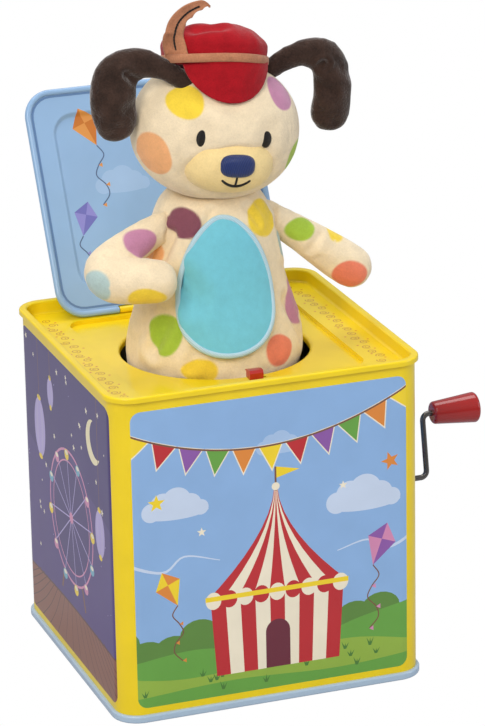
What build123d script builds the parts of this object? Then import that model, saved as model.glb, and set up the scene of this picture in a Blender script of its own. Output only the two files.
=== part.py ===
"""Tin jack in the box: a lithographed sheet-metal box with a crank, a pin-drum
musical movement, a hinged lid held by a trip catch, and a stuffed plush puppy on
a coil spring.  Millimetres, +Z up, front towards -Y, crank towards +X.  The
origin is the middle of the box's underside.  The lid stands open and the
puppy is up, as the toy rests after it has popped."""

from build123d import *
import math
import os

# ------------------------------------------------------------------ the box
tin_width = 140.0            # outside of the walls, both ways
tin_height = 149.2           # underside to the crest of the top rim
corner_radius = 10.5         # outside of the upright corners
sheet = 0.4                  # tinplate with its print and varnish
rim_overhang = 1.6           # how far both seams stand out from the walls
top_bead_height = 2.4
top_bead_cap = 0.8           # metal above the wall's edge, inside the bead
bottom_seam_height = 3.4
seam_round = 0.9
seam_gap = 0.05              # play between a seam and the wall in it
lap_width = 6.0              # upright lock seam in the middle of the back wall
lap_end_gap = 3.0

# ------------------------------------------------------------------ underside
pad_inset = 13.0             # from the wall to the pressed standing pad
pad_depth = 1.6
pad_round = 6.0

# ------------------------------------------------------------------ top tray
tray_depth = 6.0             # rim crest to the flat border
tray_wall_inset = 2.0        # outside of the wall to the tray's inner side
tray_foot_round = 1.2
recess_width = 105.0
recess_depth = 2.0
recess_round = 8.0
hole_radius = 42.0
lip_round = 1.4
lip_depth = 3.0
peep_radius = 0.8            # small locating hole beside the catch
peep_x = 6.7

# ------------------------------------------------------------------ lid
lid_width = 108.8
lid_round = 13.0
bead = 2.8                   # thickness of the lid's rolled edge
bead_round = 1.3
lid_floor_gap = 0.2          # closed lid to the tray's border
hinge_border = 3.0           # back edge of the tray's recess to the hinge axis
lid_front_inset = 3.4        # front edge of the recess to the closed lid's edge
lid_open_angle = 117.9
emboss_inset = 10.5
emboss_height = 1.6
emboss_slope = 45
hinge_pin_radius = 0.8
hinge_knuckle_radius = 1.5
hinge_tab_width = 52.0
hinge_tab_gap = 0.4          # tab to each end of the lid's barrel
hinge_bore_gap = 0.05
hinge_sweep_gap = 0.5        # notch in the lid around the knuckle
pin_reach = 8.0              # pin inside each end of the lid's barrel

# ------------------------------------------------------------------ crank
crank_from_front = 40.0      # front wall to the shaft
crank_from_top = 71.9        # rim crest down to the shaft
shaft_radius = 1.25
arm_out = 18.7               # side wall to the plane of the crank arm
arm_length = 28.4
arm_lean = 10.7              # degrees from upright, towards the back
crank_bend = 3.0
running_gap = 0.05
bushing_radius = 3.0
bushing_flange_radius = 4.6
bushing_flange = 1.0
knob_start = 4.5             # arm plane to the knob's thin end
knob_length = 21.5
knob_small_radius = 5.0
knob_large_radius = 7.0
knob_round = 1.5
knob_blind = 4.0             # solid end of the knob beyond the rod

# ------------------------------------------------------------------ movement
gear_module = 0.8
pinion_teeth = 12
gear_teeth = 36
pressure_angle = 25.0
tooth_thinning = 0.10
tooth_clearance = 0.25       # tip of one tooth to the other's root, in modules
gear_width = 3.5
pinion_width = 4.5
drum_bearing = 220.0         # direction from crank shaft to drum, in the YZ plane
gear_from_wall = 9.6         # inside of the wall to the gear's inner face
axle_radius = 1.2
drum_radius = 7.6
drum_from_ear = 8.0
drum_length = 17.0
pin_rows = 14
pin_count = 28
pin_step = 137.5
pin_radius = 0.35
pin_height = 0.7
cam_from_ear = 2.2
cam_width = 2.6
cam_radius = 6.5
cam_lobe = 4.1
cam_gap = 0.4                # lobe to the catch lever's tail
frame_sheet = 1.0
frame_depth = 36.6           # wall to the frame's inner ear
frame_front_margin = 13.3    # drum axis to the frame's front edge
frame_back_margin = 5.0      # crank axis to its back edge
frame_top_margin = 9.0       # crank axis to its top edge
clip_radius = 2.8
clip_width = 0.6
clip_gap = 0.2
comb_rest_height = 9.0       # block under the comb
comb_tip_angle = 18.0        # tips ahead of the drum's lowest line, in degrees
comb_sheet = 0.6
comb_tip_gap = 0.2
tooth_slot = 0.35
comb_tooth_length = 6.6
screw_radius = 1.0
screw_head_radius = 1.9
screw_head = 1.2

# ------------------------------------------------------------------ catch
catch_inset = 0.5            # catch's strip to the recess's front edge
catch_pin_from_wall = 9.6
catch_pin_from_border = 38.2
catch_pin_radius = 0.8
catch_barrel_radius = 1.9
catch_strip = 0.8
catch_width = 5.0
catch_foot_width = 8.0
catch_end_gap = 2.2          # barrel's end beyond the tail
catch_knee_drop = 9.2        # border down to the strip's knee
bracket_height = 7.0
bracket_gap = 0.3
bracket_reach = 0.6
catch_slot_gap = 0.8
catch_travel = 4.0           # degrees
ear_sheet = 0.8
cap_width = 6.2
cap_rise = 4.4               # border to the cap's top
cap_skirt = 2.2              # strip to the cap's front face
nose_over = 1.2              # how far the catch's nose lies over the lid's edge
nose_gap = 0.3
catch_spring_wire = 0.25
catch_spring_turns = 3

# ------------------------------------------------------------------ figure
pop_travel = 160.0           # the puppy goes down this far
seat_radius = 23.0
seat_height = 6.0
seat_sheet = 0.8
coil_radius = 18.0
coil_wire = 1.0
coil_turns = 9
disc_radius = 19.0
disc_thickness = 3.2
neck_drop = 28.8             # head's centre to the disc's top
cloth = 1.2                  # sewn plush, as thick as it lies
plush_gap = 0.35
head_forward = 6.0
head_rise = 93.8             # rim crest to the head's centre
head_half_width = 36.5
head_radius = 30.0
head_roll = 7.0              # the head leans to its own left
ear_roll = 3.5
muzzle_half_width = 20.2
muzzle_radius = 15.0
muzzle_forward = 18.0
muzzle_drop = 9.9
nose_half_width = 8.6
nose_radius = 5.8
nose_proud = 2.2
nose_drop = 1.0
eye_spread = 14.5
eye_middle = -0.9
eye_rise = 2.0
eye_radius = 2.4
eye_half_height = 3.7
eye_proud = 0.8
ear_root_radius = 5.6
ear_lobe_radius = 8.3
ear_root_path = [(17.0, 1.0, 20.0), (36.0, -1.0, 32.5), (47.5, -2.0, 30.0)]
ear_lobe_path = [(45.5, -2.0, 29.5), (51.0, -3.5, 20.5), (48.3, -4.0, 8.0)]
ear_bend = 9.0
hand_radius = 10.0
shoulder_radius = 6.8
# an arm's points: across, back and up from the top of the disc in the neck
near_arm_path = [(-19.0, -3.0, -9.2), (-54.0, -12.0, -28.2), (-36.5, -27.0, -30.2)]
far_arm_path = [(19.0, -2.0, -11.2), (60.2, -8.0, -39.6)]
hat_radius = 21.8
hat_tilt = -16.0
hat_side = -3.2
hat_forward = 1.8
hat_rise = 30.3
hat_height = 15.5
band_height = 3.6
band_thickness = 1.0
skirt_depth = 9.0
visor_tilt = -9.0
visor_half_width = 19.4
visor_drop = 16.5
visor_thickness = 1.6
feather_thickness = 1.2
feather_lean = 2.0
patch_azimuth = -8.0         # the belly patch sits a little to one side
patch_low = 1.8              # rim crest to the patch's lower edge
patch_high = 59.8
patch_half_width = 25.0
patch_thickness = 1.0

# ------------------------------------------------------------------ worked out
wall_inside = tin_width / 2 - sheet
border_z = tin_height - tray_depth
recess_z = border_z - recess_depth
hinge_y = recess_width / 2 + hinge_border
hinge_z = border_z + lid_floor_gap + bead / 2
lid_front_y = lid_front_inset - recess_width / 2
crank_y = crank_from_front - tin_width / 2
crank_z = tin_height - crank_from_top
gear_distance = gear_module * (pinion_teeth + gear_teeth) / 2
drum_y = crank_y + gear_distance * math.cos(math.radians(drum_bearing))
drum_z = crank_z + gear_distance * math.sin(math.radians(drum_bearing))
handle_y = crank_y + arm_length * math.sin(math.radians(arm_lean))
handle_z = crank_z + arm_length * math.cos(math.radians(arm_lean))
arm_x = tin_width / 2 + arm_out
knob_x = arm_x + knob_start
frame_inner_x = wall_inside - frame_depth
gear_x = wall_inside - gear_from_wall
drum_start_x = frame_inner_x + drum_from_ear
cam_x = frame_inner_x + cam_from_ear
catch_y = catch_inset - recess_width / 2
catch_pin_y = catch_pin_from_wall - wall_inside
catch_pin_z = border_z - catch_pin_from_border
catch_knee_z = border_z - catch_knee_drop
catch_end_x = cam_x + cam_width + catch_end_gap
cap_top_z = border_z + cap_rise
disc_top_z = tin_height + head_rise - neck_drop
head_centre = (0.0, -head_forward, tin_height + head_rise)
patch_low_z = tin_height + patch_low
patch_high_z = tin_height + patch_high
frame_front_y = drum_y - frame_front_margin
frame_back_y = crank_y + frame_back_margin
frame_top_z = crank_z + frame_top_margin
comb_reach = drum_radius + pin_height + comb_tip_gap
comb_tip_y = drum_y - comb_reach * math.sin(math.radians(comb_tip_angle))
comb_z = drum_z - comb_reach * math.cos(math.radians(comb_tip_angle)) - comb_sheet
frame_floor_z = comb_z - comb_rest_height - frame_sheet
body_below = [(34.0, 10.0), (36.0, 60.0)]           # radius and height in the box
body_above = [                                      # radius and drop from the disc's top
    (35.5, 54.2), (30.8, 40.2), (29.5, 30.2), (27.2, 18.2), (24.6, 9.2), (20.6, 1.2),
]
body_profile = body_below + [
    (37.0, border_z - 23.2), (hole_radius - 0.8, border_z - 4.2), (hole_radius - 1.2, border_z + 0.3),
    (hole_radius - 2.7, tin_height + 0.8),
] + [(r, disc_top_z - drop) for r, drop in body_above]


def block(x, y, z):
    """Box between two values along each axis."""
    size = (x[1] - x[0], y[1] - y[0], z[1] - z[0])
    return Pos((x[0] + x[1]) / 2, (y[0] + y[1]) / 2, (z[0] + z[1]) / 2) * Box(*size)


def slab(width, radius, low, high, depth=None, middle_y=0.0):
    """Upright prism over a rounded rectangle."""
    outline = RectangleRounded(width, width if depth is None else depth, radius)
    return Pos(0, middle_y, low) * extrude(outline, high - low)


def x_rod(radius, start, end, y, z):
    """Cylinder along X."""
    return Pos((start + end) / 2, y, z) * Rot(0, 90, 0) * Cylinder(radius, end - start)


def z_rod(radius, low, high, x=0.0, y=0.0):
    """Cylinder along Z."""
    return Pos(x, y, (low + high) / 2) * Cylinder(radius, high - low)


def turned(outline):
    """Solid turned about Z from (radius, height) points."""
    return revolve(make_face(Plane.XZ * Polyline(*outline, close=True)), Axis.Z)


def spindle(half_width, radius):
    """Ellipsoid with its long axis along X, centred at the origin."""
    half = Ellipse(half_width, radius) & Pos(0, radius / 2) * Rectangle(2 * half_width, radius)
    return revolve(half, Axis.X)


def limb(start, end, start_radius, end_radius):
    """Stuffed limb: a cone with a ball at its far end."""
    run = Vector(*end) - Vector(*start)
    plane = Plane(origin=Vector(*start) + run / 2, z_dir=run)
    return plane * Cone(start_radius, end_radius, run.length) + Pos(*end) * Sphere(end_radius * 1.02)


def strip(points, thickness, x_low, x_high):
    """Bent strip of even thickness that follows (y, z) points, wide along X."""
    line = [Vector(*p) for p in points]
    sides = ([], [])
    for i, here in enumerate(line):
        before = (here - line[i - 1]).normalized() if i else (line[1] - here).normalized()
        after = (line[i + 1] - here).normalized() if i + 1 < len(line) else before
        middle = (before + after).normalized()
        half = thickness / 2 / (middle.X * after.X + middle.Y * after.Y)
        normal = Vector(-middle.Y, middle.X) * half
        sides[0].append(here + normal)
        sides[1].insert(0, here - normal)
    outline = make_face(Polyline(*[(p.X, p.Y) for p in sides[0] + sides[1]], close=True))
    return Pos(x_low, 0, 0) * extrude(Plane.YZ * outline, x_high - x_low)


def gear(teeth, width, bore, turn, y, z, x):
    """Involute spur gear on an axis along X, with one tooth centred on the angle turn."""
    pitch = gear_module * teeth / 2
    base = pitch * math.cos(math.radians(pressure_angle))
    root = pitch - gear_module * (1 + tooth_clearance)
    tip = pitch + gear_module * 0.9
    involute = lambda r: math.tan(math.acos(base / r)) - math.acos(base / r)
    half = math.pi / 2 / teeth - tooth_thinning / 2 / pitch + involute(pitch)
    radii = [root, max(base, root + 0.1), pitch, (pitch + tip) / 2, tip]
    spread = [half - (involute(r) if r > base else 0.0) for r in radii]
    flank = list(zip(radii, spread))
    points = []
    for i in range(teeth):
        middle = math.radians(turn) + 2 * math.pi * i / teeth
        for r, a in [(r, -a) for r, a in flank] + flank[::-1]:
            points.append((r * math.cos(middle + a), r * math.sin(middle + a)))
    blank = extrude(Plane.YZ * make_face(Polyline(*points, close=True)), width)
    return Pos(x, y, z) * blank - x_rod(bore, x - 1, x + width + 1, y, z)


def on_head(shape, roll=head_roll):
    """Move a shape made about the head's centre to its place on the leaning head."""
    return Pos(*head_centre) * Rot(0, roll, 0) * shape


def cloth_body(extra):
    """Full solid inside the cloth body's outer surface, grown by extra."""
    bottom = [(0, 1.5), (seat_radius + cloth + extra, 1.5)]
    side = [(r + extra, z) for r, z in body_profile]
    return turned(bottom + side + [(0, body_profile[-1][1])])


# ------------------------------------------------------------------ box pieces
def make_tin_body():
    low, high = sheet, tin_height - top_bead_cap
    walls = slab(tin_width, corner_radius, low, high)
    walls -= slab(tin_width - 2 * sheet, corner_radius - sheet, low, high)
    lap = block((-lap_width / 2, lap_width / 2), (wall_inside - 2 * sheet, wall_inside),
                (bottom_seam_height + lap_end_gap, border_z - sheet - lap_end_gap))
    walls += lap
    walls -= x_rod(bushing_radius, wall_inside - 1, tin_width / 2 + 1, crank_y, crank_z)
    for y, z in frame_screw_places():
        walls -= x_rod(screw_radius, wall_inside - 1, tin_width / 2 + 1, y, z)
    return walls


def make_base_plate():
    inner = tin_width - 2 * sheet - 2 * rim_overhang
    inner_round = corner_radius - sheet - rim_overhang
    seam = slab(tin_width + 2 * rim_overhang, corner_radius + rim_overhang, 0, bottom_seam_height)
    seam = fillet(seam.faces().filter_by(Axis.Z).edges(), seam_round)
    seam -= slab(inner, inner_round, 0, bottom_seam_height)
    groove = slab(tin_width + 2 * seam_gap, corner_radius + seam_gap, sheet, bottom_seam_height)
    groove -= slab(tin_width - 2 * sheet - 2 * seam_gap, corner_radius - sheet - seam_gap,
                   sheet, bottom_seam_height)
    pad = tin_width - 2 * pad_inset
    panel = slab(inner, inner_round, pad_depth, pad_depth + sheet)
    panel += slab(pad, pad_round, 0, pad_depth + sheet)
    panel -= slab(pad - 2 * sheet, pad_round - sheet, sheet, pad_depth + sheet)
    return seam - groove + panel


def make_top_tray():
    inner = tin_width - 2 * tray_wall_inset
    inner_round = corner_radius - tray_wall_inset
    bead_low = tin_height - top_bead_height
    rim = slab(tin_width + 2 * rim_overhang, corner_radius + rim_overhang, bead_low, tin_height)
    rim -= slab(inner, inner_round, bead_low, tin_height)
    rim = fillet(rim.edges().filter_by(lambda e: e.center().Z > tin_height - 0.01), seam_round)
    groove = slab(tin_width + 2 * seam_gap, corner_radius + seam_gap,
                  bead_low, tin_height - top_bead_cap)
    groove -= slab(tin_width - 2 * sheet - 2 * seam_gap, corner_radius - sheet - seam_gap,
                   bead_low, tin_height - top_bead_cap)
    pan = slab(inner + 2 * sheet, inner_round + sheet, border_z - sheet, bead_low)
    pan = fillet(pan.faces().sort_by(Axis.Z)[0].edges(), tray_foot_round + sheet)
    hollow = slab(inner, inner_round, border_z, tin_height)
    hollow = fillet(hollow.faces().sort_by(Axis.Z)[0].edges(), tray_foot_round)
    well = slab(recess_width + 2 * sheet, recess_round + sheet, recess_z - sheet, border_z)
    tray = (rim - groove) + (pan - hollow) + well
    tray -= slab(recess_width, recess_round, recess_z, border_z + 1)
    tray -= z_rod(hole_radius + lip_round, recess_z - 2 * sheet, recess_z + 1)
    tray += make_hole_lip()
    slot_back = catch_y + catch_strip / 2 + catch_slot_gap
    slot_front = catch_y - catch_strip / 2 - catch_slot_gap - catch_swing(border_z)
    slot_half = catch_width / 2 + catch_slot_gap / 2
    tray -= block((-slot_half, slot_half), (slot_front, slot_back), (recess_z - 1, border_z + 1))
    tray -= z_rod(peep_radius, recess_z - 1, recess_z + 1, peep_x, -hole_radius - lip_round - 2)
    half_tab = hinge_tab_width / 2
    tab = x_rod(hinge_knuckle_radius, -half_tab, half_tab, hinge_y, hinge_z)
    tab += block((-half_tab, half_tab), (hinge_y, hinge_y + hinge_knuckle_radius),
                 (border_z - sheet / 2, hinge_z))
    tab -= x_rod(hinge_pin_radius, -half_tab, half_tab, hinge_y, hinge_z)
    return tray + tab


def make_hole_lip():
    """Rolled-down edge of the round hole."""
    top, bend_z = recess_z, recess_z - lip_round
    edge, foot = hole_radius, recess_z - lip_depth
    turn = hole_radius + lip_round
    short = math.sqrt(0.5)
    inner_round = lip_round - sheet
    outer_arc = ThreePointArc((turn, top), (turn - lip_round * short, bend_z + lip_round * short),
                              (edge, bend_z))
    inner_arc = ThreePointArc((edge + sheet, bend_z),
                              (turn - inner_round * short, bend_z + inner_round * short),
                              (turn, top - sheet))
    lines = [Line((edge, bend_z), (edge, foot)), Line((edge, foot), (edge + sheet, foot)),
             Line((edge + sheet, foot), (edge + sheet, bend_z)),
             Line((turn, top - sheet), (turn, top))]
    outline = make_face(Plane.XZ * Wire([outer_arc, lines[0], lines[1], lines[2], inner_arc, lines[3]]))
    return revolve(outline, Axis.Z)


def make_lid():
    """The lid is made closed, then swung open about the hinge."""
    back = hinge_y + bead / 2
    depth, middle = back - lid_front_y, (back + lid_front_y) / 2
    low, high = hinge_z - bead / 2, hinge_z + bead / 2
    edge = slab(lid_width, lid_round, low, high, depth, middle)
    edge -= slab(lid_width - 2 * bead, lid_round - bead, low, high, depth - 2 * bead, middle)
    edge = fillet(edge.edges(), bead_round)
    inset = bead + 2 * emboss_inset
    raised = RectangleRounded(lid_width - inset, depth - inset, lid_round - bead)
    raised = extrude(raised, emboss_height, taper=emboss_slope)
    panel = slab(lid_width - bead, lid_round - bead / 2, hinge_z - sheet / 2, hinge_z + sheet / 2,
                 depth - bead, middle)
    panel += Pos(0, middle, hinge_z + sheet / 2) * raised
    panel -= Pos(0, middle, hinge_z - sheet / 2) * raised
    lid = edge + panel
    half_notch = hinge_tab_width / 2 + hinge_tab_gap
    around = hinge_knuckle_radius + hinge_sweep_gap
    lid -= block((-half_notch, half_notch), (hinge_y - around, back + 1), (low - 1, high + 1))
    lid -= x_rod(hinge_pin_radius + hinge_bore_gap, -half_notch - pin_reach,
                 half_notch + pin_reach, hinge_y, hinge_z)
    return lid_swung(lid)


def lid_swung(shape):
    """Turn a shape from the closed lid's place to the open one's."""
    return Pos(0, hinge_y, hinge_z) * Rot(-lid_open_angle, 0, 0) * Pos(0, -hinge_y, -hinge_z) * shape


def make_lid_hinge_pin():
    reach = hinge_tab_width / 2 + hinge_tab_gap + pin_reach - hinge_tab_gap
    return x_rod(hinge_pin_radius, -reach, reach, hinge_y, hinge_z)


# ------------------------------------------------------------------ crank
def make_crank_rod():
    inner = frame_inner_x - clip_gap - clip_width - 1.0
    lean = math.radians(arm_lean)
    rod_end = knob_x + knob_length - knob_blind
    path = FilletPolyline((inner, crank_y, crank_z), (arm_x, crank_y, crank_z),
                          (arm_x, handle_y, handle_z), (rod_end, handle_y, handle_z),
                          radius=crank_bend)
    section = Plane(origin=(inner, crank_y, crank_z), z_dir=(1, 0, 0)) * Circle(shaft_radius)
    return sweep(section, path=path)


def make_crank_knob():
    """Tapered knob, turned about its own axis and laid along the handle."""
    outline = [(0, 0), (knob_small_radius, 0), (knob_large_radius, knob_length), (0, knob_length)]
    body = turned(outline)
    body = fillet(body.edges().filter_by(GeomType.CIRCLE), knob_round)
    bore = z_rod(shaft_radius + running_gap, 0, knob_length - knob_blind + running_gap)
    return Pos(knob_x, handle_y, handle_z) * Rot(0, 90, 0) * (body - bore)


def make_crank_bushing():
    wall = tin_width / 2
    sleeve = x_rod(bushing_radius, wall_inside - frame_sheet, wall, crank_y, crank_z)
    flange = x_rod(bushing_flange_radius, wall, wall + bushing_flange, crank_y, crank_z)
    flange = fillet(flange.edges().sort_by(Axis.X)[-1:], bushing_flange / 2)
    bore = x_rod(shaft_radius + running_gap, wall_inside - frame_sheet - 1, wall + 2, crank_y, crank_z)
    return sleeve + flange - bore


def clip(x, y, z, bore):
    """Flat retaining ring pressed on a shaft."""
    return x_rod(clip_radius, x, x + clip_width, y, z) - x_rod(bore, x - 1, x + 1, y, z)


# ------------------------------------------------------------------ movement
def frame_screw_places():
    return [(frame_front_y + 5, frame_top_z - 5), (frame_back_y - 4, frame_floor_z + 6)]


def comb_screw_places():
    end = drum_start_x + drum_length
    y = (comb_tip_y - comb_tooth_length + frame_front_y) / 2
    return [(drum_start_x + 4, y), (end - 4, y)]


def make_movement_frame():
    outer_x = wall_inside - frame_sheet
    floor = block((frame_inner_x, wall_inside), (frame_front_y, frame_back_y),
                  (frame_floor_z, frame_floor_z + frame_sheet))
    ears = block((frame_inner_x, frame_inner_x + frame_sheet), (frame_front_y, frame_back_y),
                 (frame_floor_z, frame_top_z))
    ears += block((outer_x, wall_inside), (frame_front_y, frame_back_y), (frame_floor_z, frame_top_z))
    rest_back = comb_tip_y - comb_tooth_length
    rest = block((drum_start_x, drum_start_x + drum_length), (frame_front_y, rest_back),
                 (frame_floor_z, comb_z))
    frame = floor + ears + rest
    inner_end, outer_end = frame_inner_x - 1, frame_inner_x + 2
    frame -= x_rod(shaft_radius + running_gap, inner_end, outer_end, crank_y, crank_z)
    frame -= x_rod(axle_radius + running_gap, inner_end, wall_inside + 1, drum_y, drum_z)
    frame -= x_rod(bushing_radius, outer_x - 1, wall_inside + 1, crank_y, crank_z)
    for y, z in frame_screw_places():
        frame -= x_rod(screw_radius, outer_x - 1, wall_inside + 1, y, z)
    for x, y in comb_screw_places():
        frame -= z_rod(screw_radius, comb_z - 4, comb_z + 1, x, y)
    return frame


def screw(length):
    """Round-headed screw along Z: the head above zero, the thread below."""
    head = fillet(z_rod(screw_head_radius, 0, screw_head).edges().sort_by(Axis.Z)[-1:], screw_head / 2)
    slot = block((-screw_head_radius, screw_head_radius), (-0.25, 0.25), (screw_head / 2, screw_head))
    return head + z_rod(screw_radius, -length, 0) - slot


def make_frame_screws():
    wall = tin_width / 2
    return [Pos(wall, y, z) * Rot(0, 90, 0) * screw(sheet + frame_sheet) for y, z in frame_screw_places()]


def make_comb_screws():
    return [Pos(x, y, comb_z + comb_sheet) * screw(comb_sheet + 3.5) for x, y in comb_screw_places()]


def make_comb():
    tip, root = comb_tip_y, comb_tip_y - comb_tooth_length
    end = drum_start_x + drum_length
    comb = block((drum_start_x, end), (frame_front_y, tip), (comb_z, comb_z + comb_sheet))
    pitch = drum_length / pin_rows
    for i in range(1, pin_rows):
        x = drum_start_x + i * pitch
        comb -= block((x - tooth_slot / 2, x + tooth_slot / 2), (root, tip + 1),
                      (comb_z - 1, comb_z + 2))
    for x, y in comb_screw_places():
        comb -= z_rod(screw_radius, comb_z - 1, comb_z + 2, x, y)
    return comb


def make_music_drum():
    end = drum_start_x + drum_length
    drum = x_rod(drum_radius, drum_start_x, end, drum_y, drum_z)
    pitch = drum_length / pin_rows
    for i in range(pin_count):
        x = drum_start_x + (i % pin_rows + 0.5) * pitch
        pin = z_rod(pin_radius, drum_radius - 0.5, drum_radius + pin_height)
        drum += Pos(x, drum_y, drum_z) * Rot(i * pin_step, 0, 0) * pin
    drum += x_rod(drum_radius / 2, end, gear_x, drum_y, drum_z)
    return drum - x_rod(axle_radius, drum_start_x - 1, gear_x + 1, drum_y, drum_z)


def make_release_cam():
    """Disc with one rounded lobe that lifts the catch lever's tail."""
    lobe_radius = cam_lobe / 2
    reach = cam_radius + cam_lobe - lobe_radius
    disc = x_rod(cam_radius, cam_x, cam_x + cam_width, drum_y, drum_z)
    disc += x_rod(lobe_radius, cam_x, cam_x + cam_width, drum_y, drum_z + reach)
    disc += block((cam_x, cam_x + cam_width), (drum_y - lobe_radius, drum_y + lobe_radius),
                  (drum_z, drum_z + reach))
    disc += x_rod(axle_radius * 2, cam_x + cam_width, drum_start_x, drum_y, drum_z)
    return disc - x_rod(axle_radius, cam_x - 1, drum_start_x + 1, drum_y, drum_z)


def make_drum_axle():
    inner = frame_inner_x - clip_gap - clip_width - 1.0
    return x_rod(axle_radius, inner, wall_inside - running_gap, drum_y, drum_z)


# ------------------------------------------------------------------ catch
def catch_swing(z):
    """How far the catch's strip moves forward at height z when it is tripped."""
    return (z - catch_pin_z) * math.sin(math.radians(catch_travel))


def make_latch_lever():
    tail_back = drum_y + cam_radius + cam_lobe + cam_gap + catch_strip / 2
    arm = [(catch_pin_y, catch_pin_z), (catch_pin_y, catch_knee_z), (catch_y, catch_knee_z + 5),
           (catch_y, cap_top_z - 1.2)]
    half, half_foot = catch_width / 2, catch_foot_width / 2
    lever = x_rod(catch_barrel_radius, -half_foot, catch_end_x, catch_pin_y, catch_pin_z)
    lever += strip(arm, catch_strip, -half, half)
    lever += strip([(catch_pin_y, catch_pin_z), (catch_pin_y, catch_pin_z + 9)], catch_strip,
                   -half_foot, half_foot)
    tail = [(catch_pin_y, catch_pin_z), (tail_back, drum_z + 5), (tail_back, drum_z - 3)]
    lever += strip(tail, catch_strip, cam_x, cam_x + cam_width)
    return lever - x_rod(catch_pin_radius + running_gap, -half_foot - 1, catch_end_x + 1,
                         catch_pin_y, catch_pin_z)


def make_latch_cap():
    """Red cap pushed on the strip, with a nose over the closed lid's edge."""
    front, back = catch_y - cap_skirt, lid_front_y - nose_gap
    low, under = border_z + 0.5, hinge_z + bead / 2 + nose_gap
    tip = lid_front_y + nose_over
    outline = Polyline((front, low), (back, low), (back, under), (tip, under),
                       (tip, under + 0.3), (catch_y + 0.8, cap_top_z), (front + 0.8, cap_top_z),
                       (front, cap_top_z - 1.2), close=True)
    cap = Pos(-cap_width / 2, 0, 0) * extrude(Plane.YZ * make_face(outline), cap_width)
    half = catch_width / 2
    socket = block((-half, half), (catch_y - catch_strip / 2, catch_y + catch_strip / 2),
                   (low - 1, cap_top_z - 1.2))
    return cap - socket


def ear_places():
    left = -catch_foot_width / 2 - bracket_gap - ear_sheet
    return left, catch_end_x + bracket_gap


def make_latch_bracket():
    left, right = ear_places()
    back = catch_pin_y + catch_barrel_radius + bracket_reach
    low, high = catch_pin_z - bracket_height / 2, catch_pin_z + bracket_height / 2
    plate = block((left, right + ear_sheet), (-wall_inside, -wall_inside + ear_sheet), (low, high))
    for x in (left, right):
        plate += block((x, x + ear_sheet), (-wall_inside, back), (low, high))
    return plate - x_rod(catch_pin_radius, left - 1, right + 2, catch_pin_y, catch_pin_z)


def make_latch_pin():
    left, right = ear_places()
    return x_rod(catch_pin_radius, left - 0.8, right + ear_sheet + 0.8, catch_pin_y, catch_pin_z)


def make_latch_spring():
    """Torsion spring: a few turns round the barrel and a leg that bears on the wall plate."""
    radius = catch_barrel_radius + catch_spring_wire + 0.3
    pitch = 3 * catch_spring_wire
    start = catch_foot_width / 2 + 1.0
    turns = Helix(pitch, pitch * catch_spring_turns, radius)
    section = Plane(origin=turns @ 0, z_dir=turns % 0) * Circle(catch_spring_wire)
    coil = sweep(section, path=turns, is_frenet=True)
    coil = Pos(start, catch_pin_y, catch_pin_z) * Rot(0, 90, 0) * coil
    leg_y = -wall_inside + ear_sheet + catch_spring_wire
    leg_x = start + pitch * catch_spring_turns
    leg = limb((leg_x, catch_pin_y, catch_pin_z - radius), (leg_x, leg_y, catch_pin_z - radius),
               catch_spring_wire, catch_spring_wire * 0.9)
    return coil + leg


# ------------------------------------------------------------------ spring
def make_spring_seat():
    cup = z_rod(seat_radius, sheet, sheet + seat_height)
    return cup - z_rod(seat_radius - seat_sheet, sheet + seat_sheet, sheet + seat_height + 1)


def make_pop_spring():
    low = sheet + seat_sheet + coil_wire
    high = disc_top_z - disc_thickness - coil_wire
    turns = Helix((high - low) / coil_turns, high - low, coil_radius)
    section = Plane(origin=turns @ 0, z_dir=turns % 0) * Circle(coil_wire)
    return Pos(0, 0, low) * sweep(section, path=turns, is_frenet=True)


def make_spring_disc():
    disc = z_rod(disc_radius, disc_top_z - disc_thickness, disc_top_z)
    return fillet(disc.edges(), 0.6)


# ------------------------------------------------------------------ puppy
def make_body_sleeve():
    outer = cloth_body(0)
    inner = turned([(0, 1.5), (seat_radius + 0.05, 1.5)]
                   + [(r - cloth, z) for r, z in body_profile] + [(0, body_profile[-1][1])])
    return outer - inner


def make_belly_patch():
    """Egg-shaped applique, cut from a skin one patch thick around the body."""
    skin = cloth_body(patch_thickness) - cloth_body(0)
    middle, half = (patch_low_z + patch_high_z) / 2, (patch_high_z - patch_low_z) / 2
    egg = Pos(0, middle - 2) * Ellipse(patch_half_width * 0.8, half)
    cutter = extrude(Plane.XZ * egg, 80)
    return Rot(0, 0, patch_azimuth) * (skin & cutter)


def head_solid():
    whole = on_head(spindle(head_half_width, head_radius))
    return whole - z_rod(2 * head_half_width, disc_top_z - head_radius, disc_top_z)


def muzzle_solid():
    return on_head(Pos(0, -muzzle_forward, -muzzle_drop) * spindle(muzzle_half_width, muzzle_radius))


def make_nose():
    reach = muzzle_forward + muzzle_radius - nose_radius + nose_proud
    pad = Pos(0, -reach, -muzzle_drop - nose_drop) * spindle(nose_half_width, nose_radius)
    return on_head(pad) - muzzle_solid()


def make_eyes():
    eye = Rot(0, 90, 0) * spindle(eye_half_height, eye_radius)
    eyes = []
    for x in (eye_middle - eye_spread, eye_middle + eye_spread):
        share = 1 - (x / head_half_width) ** 2 - (eye_rise / head_radius) ** 2
        surface = head_radius * math.sqrt(share)
        place = Pos(x, -surface - eye_proud + eye_radius, eye_rise)
        eyes.append(on_head(place * eye) - head_solid())
    return eyes


def hat_frame(tilt):
    return Pos(hat_side, -hat_forward, hat_rise) * Rot(tilt, 0, 0)


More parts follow.
